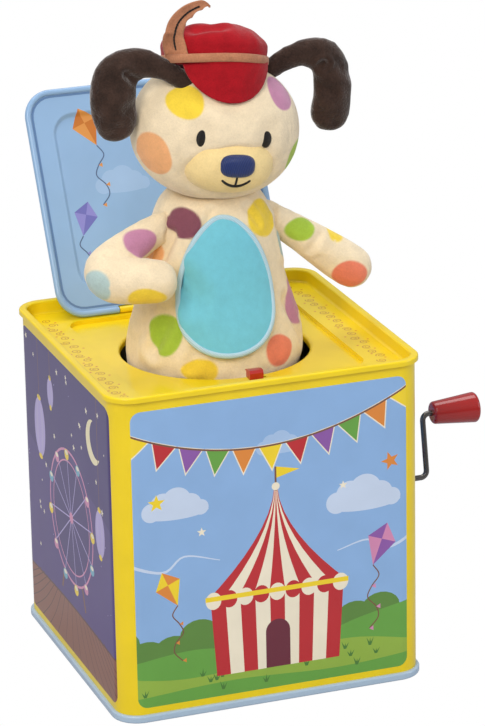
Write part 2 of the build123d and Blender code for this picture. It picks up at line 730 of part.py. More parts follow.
def hat_crown_solid():
    half_band = band_height / 2
    dome = turned([(0, -half_band), (hat_radius, -half_band), (hat_radius, half_band),
                   (hat_radius * 0.98, 5.5), (hat_radius * 0.9, 9.0), (hat_radius * 0.68, 12.8),
                   (hat_radius * 0.35, 15.0), (0, hat_height)])
    skirt = z_rod(hat_radius, -skirt_depth, -half_band)
    skirt -= block((-40, 40), (-40, -hat_radius / 3), (-skirt_depth - 1, 0))
    return on_head(hat_frame(hat_tilt) * (dome + skirt))


def make_hat_band():
    half_band = band_height / 2
    ring = z_rod(hat_radius + band_thickness, -half_band, half_band)
    return on_head(hat_frame(hat_tilt) * (ring - z_rod(hat_radius, -half_band, half_band)))


def make_hat_visor():
    outer = hat_radius + band_thickness
    shell = z_rod(outer, -visor_drop - 4, 4) - z_rod(outer - visor_thickness, -visor_drop - 4, 4)
    moon = extrude(Plane.XZ * (Pos(0, -1) * Ellipse(visor_half_width, visor_drop)), 60)
    lower = block((-40, 40), (-60, 0), (-visor_drop - 4, -1.0))
    visor = on_head(hat_frame(visor_tilt) * (shell & moon & lower))
    return visor - hat_crown_solid() - make_hat_band() - head_solid()


def make_feather():
    """Felt feather that stands in the band and curls over to the front."""
    root, heel, crest, tip = (-19.5, 0.0), (-13.5, 0.0), (-12.5, 23.5), (-4.5, 23.0)
    left = ThreePointArc(root, (-21.5, 12.0), crest)
    over = ThreePointArc(crest, (-8.0, 25.2), tip)
    right = ThreePointArc(tip, (-13.6, 13.0), heel)
    outline = make_face(Wire([left, over, right, Line(heel, root)]))
    front = -hat_radius * 0.78
    blade = Rot(-feather_lean, 0, 0) * extrude(Plane.XZ * outline, feather_thickness)
    blade = Pos(*head_centre) * Pos(hat_side, front, hat_rise + 3.0) * blade
    return blade - hat_crown_solid() - make_hat_band() - make_hat_visor()


def ear_solid(side):
    root = [(side * x, y, z) for x, y, z in ear_root_path]
    lobe = [(side * x, y, z) for x, y, z in ear_lobe_path]
    ear = None
    for path, radius in ((root, ear_root_radius), (lobe, ear_lobe_radius)):
        run = Vector(*path[1]) - Vector(*path[0])
        section = Plane(origin=path[0], z_dir=run) * Circle(radius)
        tube = sweep(section, path=FilletPolyline(*path, radius=ear_bend))
        ear = tube if ear is None else ear + tube
    for end in (lobe[0], lobe[2]):
        ear += Pos(*end) * Sphere(ear_lobe_radius * 1.02)
    return on_head(ear, ear_roll)


def make_ear(side):
    return ear_solid(side) - head_solid() - hat_crown_solid() - make_hat_band() - make_hat_visor()


def make_near_arm():
    """Arm on the box's left side, bent at the elbow so that the hand meets the belly."""
    shoulder, elbow, hand = [(x, y, disc_top_z + z) for x, y, z in near_arm_path]
    arm = limb(shoulder, elbow, shoulder_radius, hand_radius)
    arm += limb(elbow, hand, hand_radius * 0.95, hand_radius * 0.96)
    return arm - cloth_body(plush_gap) - head_solid()


def make_far_arm():
    """Arm on the crank side, stretched out and down."""
    shoulder, hand = [(x, y, disc_top_z + z) for x, y, z in far_arm_path]
    arm = limb(shoulder, hand, shoulder_radius, hand_radius)
    return arm - cloth_body(plush_gap) - head_solid()


# ------------------------------------------------------------------ write
shaft_end = frame_inner_x - clip_gap - clip_width
pieces = {
    "tin_body": make_tin_body(),
    "base_plate": make_base_plate(),
    "top_tray": make_top_tray(),
    "lid": make_lid(),
    "lid_hinge_pin": make_lid_hinge_pin(),
    "crank_rod": make_crank_rod(),
    "crank_knob": make_crank_knob(),
    "crank_bushing": make_crank_bushing(),
    "crank_clip": clip(shaft_end, crank_y, crank_z, shaft_radius),
    "drive_pinion": gear(pinion_teeth, pinion_width, shaft_radius, drum_bearing,
                         crank_y, crank_z, gear_x - 0.5),
    "drum_gear": gear(gear_teeth, gear_width, axle_radius, drum_bearing + 180 + 180 / gear_teeth,
                      drum_y, drum_z, gear_x),
    "music_drum": make_music_drum(),
    "release_cam": make_release_cam(),
    "drum_axle": make_drum_axle(),
    "axle_clip": clip(shaft_end, drum_y, drum_z, axle_radius),
    "movement_frame": make_movement_frame(),
    "frame_screws": make_frame_screws(),
    "comb": make_comb(),
    "comb_screws": make_comb_screws(),
    "latch_lever": make_latch_lever(),
    "latch_cap": make_latch_cap(),
    "latch_bracket": make_latch_bracket(),
    "latch_pin": make_latch_pin(),
    "latch_spring": make_latch_spring(),
    "spring_seat": make_spring_seat(),
    "pop_spring": make_pop_spring(),
    "spring_disc": make_spring_disc(),
    "body_sleeve": make_body_sleeve(),
    "belly_patch": make_belly_patch(),
    "head": head_solid() - muzzle_solid(),
    "muzzle": muzzle_solid(),
    "nose": make_nose(),
    "eyes": make_eyes(),
    "left_ear": make_ear(1),
    "right_ear": make_ear(-1),
    "left_arm": make_far_arm(),
    "right_arm": make_near_arm(),
    "hat_crown": hat_crown_solid() - head_solid(),
    "hat_band": make_hat_band() - head_solid(),
    "hat_visor": make_hat_visor(),
    "feather": make_feather(),
}

os.makedirs("parts", exist_ok=True)
for name, made in pieces.items():
    solids = made if isinstance(made, list) else [made]
    export_step(Compound(children=[s for piece in solids for s in piece.solids()]), f"parts/{name}.step")
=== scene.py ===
# %% [markdown]
# # A tin jack in the box, finished
#
# The printed tin box, its lid, crank and catch come from the CAD frame at their real size. Here they get
# their litho prints and their finishes, and the soft puppy that stands on the coil spring is modelled.
# The CAD frame is kept: Z up, the front wall towards -Y, the crank towards +X. Sizes are in millimetres
# and turned into metres when a mesh is made.

# %% Frame and tools
import math

import bpy
import numpy as np
from mathutils import Matrix, Vector
from mathutils.geometry import delaunay_2d_cdt


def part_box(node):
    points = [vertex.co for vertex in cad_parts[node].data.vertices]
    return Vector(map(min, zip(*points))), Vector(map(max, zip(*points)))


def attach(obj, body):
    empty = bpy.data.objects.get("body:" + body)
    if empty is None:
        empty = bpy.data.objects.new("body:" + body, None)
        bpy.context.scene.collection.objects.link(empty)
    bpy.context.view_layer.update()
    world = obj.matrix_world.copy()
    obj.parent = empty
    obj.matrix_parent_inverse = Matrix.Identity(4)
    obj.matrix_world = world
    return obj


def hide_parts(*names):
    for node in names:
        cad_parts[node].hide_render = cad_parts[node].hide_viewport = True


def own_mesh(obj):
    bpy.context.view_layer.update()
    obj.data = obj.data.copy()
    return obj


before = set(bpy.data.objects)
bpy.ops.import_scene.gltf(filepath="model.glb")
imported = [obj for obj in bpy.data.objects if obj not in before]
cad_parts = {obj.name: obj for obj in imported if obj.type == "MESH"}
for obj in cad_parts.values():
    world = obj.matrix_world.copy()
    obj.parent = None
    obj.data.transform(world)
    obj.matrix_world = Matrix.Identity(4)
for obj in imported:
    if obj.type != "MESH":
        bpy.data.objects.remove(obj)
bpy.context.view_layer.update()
MM = 0.001
TAU = 2 * math.pi
X, Y, Z = 0, 1, 2

# %% [markdown]
# ## Colours, nodes and meshes
#
# Every colour is written as the sRGB hex code that a paint or cloth chart would give. One function adds a
# shader node, and one makes a mesh from a grid of points, so that each later step only says what is
# particular to its piece.


# %% Shader helpers
def colour(code):
    """Linear red, green, blue and alpha of an sRGB hex code."""
    value = np.array([int(code[i : i + 2], 16) for i in (1, 3, 5)]) / 255
    linear = np.where(value > 0.04045, ((value + 0.055) / 1.055) ** 2.4, value / 12.92)
    return (*linear.tolist(), 1.0)


def node(tree, kind, sockets=None, **settings):
    """Adds a shader node, sets its properties and fills or links its inputs."""
    made = tree.nodes.new("ShaderNode" + kind)
    for key, value in settings.items():
        setattr(made, key, value)
    for key, value in (sockets or {}).items():
        if isinstance(value, bpy.types.NodeSocket):
            tree.links.new(value, made.inputs[key])
        else:
            made.inputs[key].default_value = value
    return made


def material(name, **inputs):
    """Material with one Principled node. Its named inputs take values."""
    made = bpy.data.materials.new(name)
    made.use_nodes = True
    tree = made.node_tree
    tree.nodes.clear()
    shader = node(tree, "BsdfPrincipled", {k.replace("_", " "): v for k, v in inputs.items()})
    node(tree, "OutputMaterial", {"Surface": shader.outputs["BSDF"]}, target="ALL")
    return made, tree, shader


def noise(tree, scale, detail, roughness=0.5):
    """Noise in object space."""
    place = node(tree, "TexCoord").outputs["Object"]
    inputs = {"Vector": place, "Scale": scale, "Detail": detail, "Roughness": roughness}
    return node(tree, "TexNoise", inputs).outputs["Fac"]


def bump(tree, shader, height, distance, over=None):
    """Bumps of that distance in mm, over others if given, that set the shader's normal."""
    inputs = {"Height": height, "Distance": distance * MM}
    if over is not None:
        inputs["Normal"] = over
    made = node(tree, "Bump", inputs).outputs["Normal"]
    tree.links.new(made, shader.inputs["Normal"])
    return made


def ink_tone(tree, shader, ink, attribute, value, reach, blotch):
    """One ink, or the piece's own colour attribute where none is given, lighter and darker by a share
    of blotch as value runs through reach."""
    if ink is None:
        base = node(tree, "Attribute", attribute_name=attribute).outputs["Color"]
    else:
        base = node(tree, "RGB").outputs[0]
        base.default_value = colour(ink)
    tone = node(tree, "MapRange", {"Value": value, 1: reach[0], 2: reach[1], 3: 1 - blotch, 4: 1 + blotch})
    shade = node(tree, "VectorMath", {0: base, 1: tone.outputs[0]}, operation="MULTIPLY")
    tree.links.new(shade.outputs[0], shader.inputs["Base Color"])


# %% Mesh helpers
def box_mm(name):
    """Lowest and highest corner of a CAD node, in mm."""
    return [np.array(corner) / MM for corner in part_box(name)]


def unit(rows):
    """Vectors brought to length 1."""
    return rows / np.linalg.norm(rows, axis=-1, keepdims=True)


def turning(angle, axis):
    """Matrix that turns rows of points about X, Y or Z by an angle in radians."""
    c, s = math.cos(angle), math.sin(angle)
    a, b = (axis + 1) % 3, (axis + 2) % 3
    matrix = np.eye(3)
    matrix[a, a] = matrix[b, b] = c
    matrix[a, b] = s
    matrix[b, a] = -s
    return matrix


def around(count):
    """Angles evenly round a circle, without the last."""
    return np.linspace(0, TAU, count, endpoint=False)


def mesh_piece(name, points, faces, finish):
    """Smooth object at the origin from points in mm and faces, with one material."""
    mesh = bpy.data.meshes.new(name)
    mesh.from_pydata((np.asarray(points) * MM).tolist(), [], [list(map(int, f)) for f in faces])
    mesh.validate()
    mesh.polygons.foreach_set("use_smooth", [True] * len(mesh.polygons))
    mesh.materials.append(finish)
    made = bpy.data.objects.new(name, mesh)
    bpy.context.scene.collection.objects.link(made)
    return made


def grid_piece(name, grid, finish, loop=False):
    """Closed skin over a grid of points, rows along the piece and columns around it. The rows join up
    into a loop, or each end row is closed by a fan to its middle."""
    rows, columns = grid.shape[:2]
    points = grid.reshape(-1, 3)
    row, column = np.meshgrid(np.arange(rows if loop else rows - 1), np.arange(columns), indexing="ij")
    after, below = (column + 1) % columns, (row + 1) % rows
    quads = np.stack([row * columns + column, row * columns + after,
                      below * columns + after, below * columns + column], -1).reshape(-1, 4)
    faces = quads.tolist()
    if not loop:
        first, last = len(points), len(points) + 1
        points = np.vstack([points, grid[0].mean(0), grid[-1].mean(0)])
        for a in range(columns):
            b = (a + 1) % columns
            faces.append([first, b, a])
            faces.append([last, (rows - 1) * columns + a, (rows - 1) * columns + b])
    corners = [points[f] for f in (quads[:, 0], quads[:, 1], quads[:, 2])]
    volume = np.einsum("ij,ij->i", corners[0], np.cross(corners[1], corners[2])).sum()
    if volume < 0:
        faces = [f[::-1] for f in faces]
    return mesh_piece(name, points, faces, finish)


def along_path(path):
    """Distance along the path at each of its points."""
    return np.concatenate([[0], np.cumsum(np.linalg.norm(np.diff(path, axis=0), axis=1))])


def smooth_path(points, count):
    """Count points evenly along the Catmull-Rom curve through the given points."""
    p = np.array(points, float)
    p = np.vstack([2 * p[0] - p[1], p, 2 * p[-1] - p[-2]])
    t = np.linspace(0, 1, 24, endpoint=False)[:, None]
    runs = []
    for a, b, c, d in zip(p, p[1:], p[2:], p[3:]):
        runs.append(0.5 * (2 * b + (c - a) * t + (2 * a - 5 * b + 4 * c - d) * t**2
                           + (3 * b - a - 3 * c + d) * t**3))
    curve = np.vstack(runs + [p[-2:-1]])
    along = along_path(curve)
    at = np.linspace(0, along[-1], count)
    return np.stack([np.interp(at, along, curve[:, i]) for i in range(curve.shape[1])], 1)


def tube_grid(path, radius, columns=48, flat=1.0, sideways=(0, 1, 0)):
    """Rows of rings about a path: c + r (cos a N flat + sin a B), with N square to the path and near
    the sideways direction. Round ends shrink r by sqrt(1 - (1 - s / r)^2) near each end."""
    radius = np.broadcast_to(radius, len(path)).astype(float).copy()
    along = along_path(path)
    for s, end in ((along, radius[0]), (along[-1] - along, radius[-1])):
        radius *= np.sqrt(np.clip(1 - np.clip(1 - s / end, 0, 1) ** 2, 1e-4, 1))
    ahead = unit(np.gradient(path, axis=0))
    sideways = np.array(sideways, float)
    side = unit(sideways - ahead * (ahead @ sideways)[:, None])
    third = np.cross(ahead, side)
    a = around(columns)[None, :, None]
    ring = np.cos(a) * side[:, None] * flat + np.sin(a) * third[:, None]
    return path[:, None] + radius[:, None, None] * ring


# %% [markdown]
# ## Camera, floor and light
#
# The toy stands on a pale sweep under broad, soft studio light: a large panel from the upper left for the
# long highlights on the tin, weaker ones from the right and above, and a surround that is darker low down.

# %% Studio
view_from = Vector((-506.99, -1465.47, 676.15)) * MM
right = Vector((0.9405, -0.3392, -0.0188))
up = Vector((0.1258, 0.2963, 0.9468))
ahead = Vector((0.3156, 0.8928, -0.3214))
camera = bpy.data.objects.new("camera", bpy.data.cameras.new("camera"))
bpy.context.scene.collection.objects.link(camera)
turn = Matrix((right.normalized(), up.normalized(), -ahead.normalized())).transposed()
camera.matrix_world = Matrix.Translation(view_from) @ turn.to_4x4()
camera.data.lens = 184.14
camera.data.shift_x = 0.0063
camera.data.shift_y = -0.0486
camera.data.clip_start = 0.1
camera.data.clip_end = 40
bpy.context.scene.camera = camera
bpy.context.scene.view_settings.view_transform = "Standard"

world = bpy.data.worlds.new("studio")
bpy.context.scene.world = world
world.use_nodes = True
sky_tree = world.node_tree
sky_tree.nodes.clear()
seen = node(sky_tree, "LightPath").outputs["Is Camera Ray"]
way = node(sky_tree, "SeparateXYZ", {0: node(sky_tree, "TexCoord").outputs["Generated"]})
fade = node(sky_tree, "MapRange", {"Value": way.outputs["Z"], 1: -0.05, 2: 0.55, 3: 0.25, 4: 0.6})
soft_light = node(sky_tree, "Background", {"Color": colour("#F4F6FA"), "Strength": fade.outputs[0]})
white_back = node(sky_tree, "Background", {"Color": colour("#FFFFFF"), "Strength": 1.0})
either = node(sky_tree, "MixShader", {0: seen, 1: soft_light.outputs[0], 2: white_back.outputs[0]})
node(sky_tree, "OutputWorld", {"Surface": either.outputs[0]})

floor_finish, tree, shader = material("white sweep", Base_Color=colour("#BCBCC0"), Roughness=0.9)
seen = node(tree, "LightPath").outputs["Is Camera Ray"]
glow = node(tree, "Emission", {"Color": colour("#FFFFFF"), "Strength": 1.0})
mix = node(tree, "MixShader", {0: seen, 1: shader.outputs[0], 2: glow.outputs[0]})
tree.links.new(mix.outputs[0], tree.nodes["Material Output"].inputs["Surface"])
FLOOR_HALF = 3000
floor_corners = [(x * FLOOR_HALF, y * FLOOR_HALF, 0) for x, y in ((-1, -1), (1, -1), (1, 1), (-1, 1))]
mesh_piece("floor", floor_corners, [(0, 1, 2, 3)], floor_finish)


def panel_light(name, place, target, width, height, power, tint="#FFFFFF"):
    """Rectangular soft light that faces the target, with sizes in metres."""
    lamp = bpy.data.lights.new(name, "AREA")
    lamp.shape = "RECTANGLE"
    lamp.size, lamp.size_y, lamp.energy = width, height, power
    lamp.color = colour(tint)[:3]
    made = bpy.data.objects.new(name, lamp)
    made.location = place
    made.rotation_mode = "QUATERNION"
    made.rotation_quaternion = (Vector(target) - Vector(place)).to_track_quat("-Z", "Y")
    bpy.context.scene.collection.objects.link(made)


panel_light("key panel", (-0.9, -1.1, 1.25), (0, 0, 0.15), 0.9, 0.9, 18.5, "#FFF8EE")
panel_light("side panel", (1.3, -0.8, 0.7), (0, 0, 0.14), 0.5, 1.1, 5, "#F2F6FF")
panel_light("top panel", (0.0, 0.35, 1.4), (0, 0, 0.15), 1.0, 0.7, 6.5)
print("camera, floor and three lights")

# %% [markdown]
# ## Hard finishes
#
# The tin is tinplate printed by offset lithography: flat inks on a white ground, then a stoving varnish
# that gives a glossy coat with a faint orange peel. The crank rod is black-nickelled steel wire, the knob
# and the catch's cap are moulded in red plastic, and the movement is plain steel, brass and nylon.


# %% Hard materials
def printed_tin(name, ink=None):
    """Ink under varnish. With no ink given, the colours come from the print's own attribute."""
    made, tree, shader = material(name, Roughness=0.34, Coat_Weight=0.4, Coat_Roughness=0.09,
                                  Specular_IOR_Level=0.3)
    ink_tone(tree, shader, ink, "ink", noise(tree, 60.0, 2.0), (0.3, 0.7), 0.03)
    fine = bump(tree, shader, noise(tree, 420.0, 2.0), 0.006)
    broad = bump(tree, shader, noise(tree, 22.0, 1.0), 0.35, fine)
    tree.links.new(broad, shader.inputs["Coat Normal"])
    return made


def metal(name, code, roughness):
    """Bare or plated metal with fine drawing marks."""
    made, tree, shader = material(name, Base_Color=colour(code), Metallic=1.0)
    marks = noise(tree, 1 / (0.6 * MM), 3.0)
    bump(tree, shader, marks, 0.004)
    rough = node(tree, "MapRange", {"Value": marks, 3: roughness * 0.8, 4: roughness * 1.25})
    tree.links.new(rough.outputs[0], shader.inputs["Roughness"])
    return made


def plastic(name, code, roughness, depth=0.0):
    """Moulded plastic with a faint flow texture."""
    made, tree, shader = material(name, Base_Color=colour(code), Roughness=roughness, Coat_Weight=0.4,
                                  Coat_Roughness=0.05, Subsurface_Weight=depth, Subsurface_Scale=0.002)
    bump(tree, shader, noise(tree, 1 / (2.5 * MM), 3.0), 0.03)
    return made


TIN_YELLOW, LID_BLUE = "#F3D515", "#8FB2D8"
litho = printed_tin("picture litho tinplate")
finishes = {
    metal("plain tinplate", "#B9B6AE", 0.34): ["tin_body"],
    printed_tin("yellow litho tinplate", TIN_YELLOW): ["top_tray"],
    printed_tin("pale blue litho tinplate", "#AFC6DC"): ["base_plate"],
    printed_tin("light blue litho tinplate", LID_BLUE): ["lid"],
    metal("black nickel plate", "#6E6A66", 0.16): ["crank_rod"],
    metal("drawn steel wire", "#A5A29C", 0.28): ["lid_hinge_pin", "drum_axle", "latch_pin", "pop_spring"],
    metal("cold rolled steel sheet", "#9C9A96", 0.38): ["movement_frame", "latch_lever", "latch_bracket"],
    metal("hardened spring steel", "#77767A", 0.30): ["comb", "crank_clip", "axle_clip", "latch_spring"],
    metal("zinc plated steel", "#B8BABC", 0.32): ["frame_screws", "comb_screws", "spring_seat"],
    metal("turned brass", "#C79F4E", 0.25): ["crank_bushing", "drive_pinion", "music_drum"],
    plastic("glossy red moulding", "#A3130E", 0.14): ["crank_knob"],
    plastic("red cap moulding", "#B3201A", 0.3): ["latch_cap"],
    plastic("white nylon moulding", "#E2DED2", 0.45, 0.2): ["drum_gear", "release_cam", "spring_disc"],
}
for finish, names in finishes.items():
    for name in names:
        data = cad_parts[name].data
        data.materials.clear()
        data.materials.append(finish)
        data.polygons.foreach_set("material_index", [0] * len(data.polygons))
bright_steel = bpy.data.materials["drawn steel wire"]
print("finished", sum(map(len, finishes.values())), "hard pieces")

# %% [markdown]
# ## Litho prints
#
# A print is laid out flat, as on the printer's sheet: outlines in order, each over the ones before it.
# The sheet is then cut into triangles along every outline, each triangle takes the ink on top of it, and
# the sheet is wrapped on the metal, a few hundredths of a millimetre proud. The pictures are plain
# fairground motifs: a striped tent, bunting, kites, clouds, hills, stars and a big wheel.


# %% Outlines for the prints
def ring(x, y, rx, ry=None, count=36):
    """Ellipse round (x, y)."""
    a = around(count)
    return np.stack([x + rx * np.cos(a), y + (ry or rx) * np.sin(a)], 1)


def star(x, y, size, points=5, inner=0.42, turn=0.0):
    """Star whose points alternate between size and inner size."""
    a = np.arange(2 * points) * math.pi / points + math.pi / 2 + turn
    r = np.where(np.arange(2 * points) % 2 == 0, size, size * inner)
    return np.stack([x + r * np.cos(a), y + r * np.sin(a)], 1)


def stroke(points, width, thin_end=1.0):
    """Outline of a line along smooth points, whose width goes evenly to a share of it at its end."""
    path = smooth_path(points, max(12, 6 * len(points)))
    ahead = unit(np.gradient(path, axis=0))
    half = width / 2 * np.linspace(1, thin_end, len(path))
    side = np.stack([-ahead[:, 1], ahead[:, 0]], 1) * half[:, None]
    return np.vstack([path + side, (path - side)[::-1]])


PAST_SIDE = 75


def slope(*points):
    """Ground whose crest runs smoothly through points and past both sides, filled down to the base."""
    return np.vstack([smooth_path(points, 40), [(PAST_SIDE, 0), (-PAST_SIDE, 0)]])


def frame_outline(half_width, low, high, radius):
    """Rectangle with round corners."""
    a = np.linspace(0, math.pi / 2, 7)
    out = []
    for sx, sy, start in ((1, 1, 0), (-1, 1, 1), (-1, -1, 2), (1, -1, 3)):
        angle = a + start * math.pi / 2
        middle = (sx * (half_width - radius), (high - radius) if sy > 0 else (low + radius))
        out.append(np.stack([np.cos(angle), np.sin(angle)], 1) * radius + middle)
    return np.vstack(out)


def print_sheet(name, background, picture, shapes, place, normal_of, folds=(), shapes_only=False):
    """Cuts the sheet along all outlines and wraps it. picture is (border colour, outline, ground ink): the
    border is print on the walls and the tray, and painted shade for the groove beside the bead on the lid.
    Shapes show only inside its outline, and with shapes_only the tin between them is left bare."""
    border_ink_and_shade, picture_edge, ground_ink = picture
    outlines = [background, picture_edge] + [outline for _, outline in shapes]
    inks = [border_ink_and_shade, ground_ink] + [code for code, _ in shapes]
    points, faces, edges = [], [], []
    for outline in outlines:
        outline, start = np.asarray(outline, float), len(points)
        x, y = outline.T
        if (x * np.roll(y, -1) - y * np.roll(x, -1)).sum() < 0:
            outline = outline[::-1]
        points += [Vector(p) for p in outline.tolist()]
        faces.append(list(range(start, start + len(outline))))
    for fold in folds:
        start = len(points)
        points += [Vector(p) for p in fold]
        edges += [(start + i, start + i + 1) for i in range(len(fold) - 1)]
    flat, _, cut, _, _, origin = delaunay_2d_cdt(points, edges, faces, 1, 1e-4, True)
    flat = np.array([tuple(p) for p in flat])
    kept, codes = [], []
    for face, sources in zip(cut, origin):
        if 0 in sources and not (shapes_only and max(sources) < 2):
            kept.append(face)
            codes.append(inks[max(sources)] if 1 in sources else border_ink_and_shade)
    made = mesh_piece(name, place(flat), kept, litho)
    mesh = made.data
    table = {code: colour(code) for code in set(codes)}
    inked = np.array([table[code] for code in codes], np.float32)
    per_corner = np.repeat(inked, [len(p.vertices) for p in mesh.polygons], axis=0)
    layer = mesh.attributes.new("ink", "FLOAT_COLOR", "CORNER")
    layer.data.foreach_set("color", per_corner.ravel())
    mesh.normals_split_custom_set_from_vertices(normal_of(flat).tolist())
    print(name, len(kept), "triangles,", len(table), "inks")
    return made


# %% Wall wrapping
CORNER_RADIUS, INK_PROUD, WALL_TOP = 10.5, 0.02, 150.0
flat_half = box_mm("tin_body")[1][X] - CORNER_RADIUS
corner_steps = flat_half + CORNER_RADIUS * np.radians(np.arange(0, 41, 5))
wall_folds = [[(s * u, 0.5), (s * u, WALL_TOP)] for u in corner_steps for s in (-1, 1)]


def on_wall(quarter):
    """Placing and normal functions for the wall that is that many quarter turns from the front. The
    sheet is flat up to the upright corners and goes half-way round them."""
    spin = turning(quarter * math.pi / 2, Z)

    def wrap(flat):
        """Angle round the corner: what lies beyond the flat part, over the corner's radius."""
        return np.sign(flat[:, 0]) * np.clip(np.abs(flat[:, 0]) - flat_half, 0, None) / CORNER_RADIUS

    def place(flat):
        """Points on the wall for points x, z of the sheet."""
        a, r = wrap(flat), CORNER_RADIUS + INK_PROUD
        straight = np.clip(flat[:, 0], -flat_half, flat_half)
        return np.stack([straight + r * np.sin(a), -flat_half - r * np.cos(a), flat[:, 1]], 1) @ spin

    def normal(flat):
        """The wall's normals at the same points."""
        a = wrap(flat)
        return np.stack([np.sin(a), -np.cos(a), 0 * a], 1) @ spin

    return place, normal


# %% [markdown]
# ### The four walls
#
# Front: a striped tent on a meadow under bunting, with clouds and kites. Left: a big wheel, lamps and
# stars over a boardwalk at night. The right and back walls repeat the two themes in other layouts, as
# such tins do.


# %% Inks, sky and bunting
SKY, CLOUD, GLASS_BLUE = "#8DB4E2", "#C9D9F0", "#A9C6EA"
FAR_HILL, MID_HILL, NEAR_HILL, GRASS = "#5E8A3E", "#68A545", "#93B545", "#4D7F38"
RED, CREAM, YELLOW, ORANGE, VIOLET = "#BE2A30", "#F3EAD2", "#F4D62A", "#E08A3A", "#8D5AA8"
NIGHT, DUSK, LILAC, PALE_LILAC, MOON = "#38236E", "#48337C", "#B3A6DC", "#B9AEDC", "#F3E9C0"
PLANK, PLANK_LINE, BROWN, DOOR, PINK = "#8A5643", "#5E382A", "#7A5340", "#6B2A3A", "#D58CB4"
random = np.random.default_rng(7)


def cloud_shapes(x, y, size, code=CLOUD):
    """Puffs along a flat-bottomed cloud."""
    puffs = [(-1.5, 0.0, 0.62), (-0.75, 0.38, 0.8), (0.15, 0.5, 0.95), (1.0, 0.2, 0.75), (1.7, -0.05, 0.5)]
    shapes = [(code, ring(x + dx * size, y + dy * size, r * size)) for dx, dy, r in puffs]
    return shapes + [(code, ring(x + 0.1 * size, y - 0.2 * size, 2.1 * size, 0.45 * size))]


def bunting_shapes(start, end, sag, flags, size, codes):
    """Cord that hangs as a parabola between two points, with a pennant at each even step."""
    t = np.linspace(0, 1, 2 * flags + 1)[:, None]
    cord = np.array(start) + (np.array(end) - start) * t - np.array([0, 4 * sag]) * t * (1 - t)
    shapes = []
    for i in range(flags):
        a, b = cord[2 * i], cord[2 * i + 2]
        run, gap = unit(b - a), 0.08 * np.linalg.norm(b - a)
        tip = (a + b) / 2 + size * np.array([run[1], -run[0]])
        flag = np.stack([a + run * gap, b - run * gap, tip])
        shapes += [(CREAM, flag + (flag - flag.mean(0)) * 0.16), (codes[i % len(codes)], flag)]
    return shapes + [(BROWN, stroke(cord, 0.8))]


def kite_shapes(x, y, size, turn, codes, tail):
    """Diamond kite in quarters, with a curling tail that carries small bows."""
    spin = turning(turn, Z)[:2, :2]
    tips = np.array([(0, 1.25), (-0.85, 0.3), (0, -1.25), (0.85, 0.3)]) * size @ spin + (x, y)
    middle = np.array([0, 0.3]) * size @ spin + (x, y)
    shapes = [(codes[i % 2], [tips[i], tips[(i + 1) % 4], middle]) for i in range(4)]
    line = [tips[2] + (tail * size * 0.35 * math.sin(k * 1.7), -k * size * 0.62) for k in range(7)]
    bow = np.array([(-1, -0.6), (-1, 0.6), (1, -0.6), (1, 0.6)]) * size * 0.24
    return shapes + [(codes[2], stroke(line, 0.55))] + [(codes[1], bow + line[i]) for i in (2, 4, 6)]


# %% Fair and meadow
def tent_shapes(x, base, width, height, codes):
    """Round tent: flared stripes up to the peak, a scalloped eave, a drum wall, a door and a flag."""
    stripes, eave, peak = 9, base + 0.42 * height, base + height
    step = width / stripes
    t = np.linspace(0, 1, 9)
    flare = (1 - t) ** 1.7 * 0.98 + 0.02
    shapes = []
    for i in range(stripes):
        a, b = (2 * i - stripes) * step, (2 * i + 2 - stripes) * step
        wall = [(x + a * 0.86, base), (x + b * 0.86, base), (x + b * 0.93, eave), (x + a * 0.93, eave)]
        left, right = (np.stack([x + e * flare, eave + (peak - eave) * t], 1) for e in (a, b))
        shapes += [(codes[i % 2], wall), (codes[i % 2], np.vstack([left, right[::-1]]))]
    for i in range(stripes):
        middle = x + (2 * i + 1 - stripes) * step
        shapes.append((codes[(i + 1) % 2], ring(middle, eave, step * 0.98, step * 1.1, 20)))
    sill = base + 0.2 * height
    band = stroke([(x - width, eave + 0.9), (x, eave + 0.9), (x + width, eave + 0.9)], 2.2)
    door = stroke([(x, base), (x, base + 0.12 * height), (x, sill)], 0.34 * width)
    pole = stroke([(x, peak - 2), (x, peak + 4), (x, peak + 9)], 0.9)
    flag = [(x + 0.4, peak + 9), (x + 11, peak + 6.6), (x + 0.4, peak + 3.8)]
    return shapes + [(codes[2], band), (DOOR, door), (DOOR, ring(x, sill, 0.17 * width)), (BROWN, pole),
                     (codes[2], flag), (CREAM, ring(x, peak, 1.8))]


def meadow_shapes(shift):
    """Hills with a hedge behind them and tufts of grass in front."""
    hedge = [ring(-72 + 12 * i + shift % 7, 33 + 4 * math.sin(i * 1.9 + shift), 9, 7, 20) for i in range(13)]
    shapes = [(FAR_HILL, bush) for bush in hedge]
    shapes += [(FAR_HILL, slope((-75, 32), (-30, 34), (10, 31), (75, 36))),
               (MID_HILL, slope((-75, 24 + shift % 5), (-35, 30), (5, 24), (40, 33), (75, 40))),
               (NEAR_HILL, slope((-75, 22), (-40, 17), (0, 20), (35, 24), (75, 17))),
               (MID_HILL, slope((-75, 10), (-20, 13), (30, 11), (75, 14)))]
    for x, y in zip(random.uniform(-60, 60, 14), random.uniform(9, 19, 14)):
        for bend in (-1.6, 0.2, 1.9):
            tip = (x + bend, y + random.uniform(2.4, 4.2))
            shapes.append((GRASS, [(x - 0.6, y), (x + 0.6, y), tip]))
    return shapes


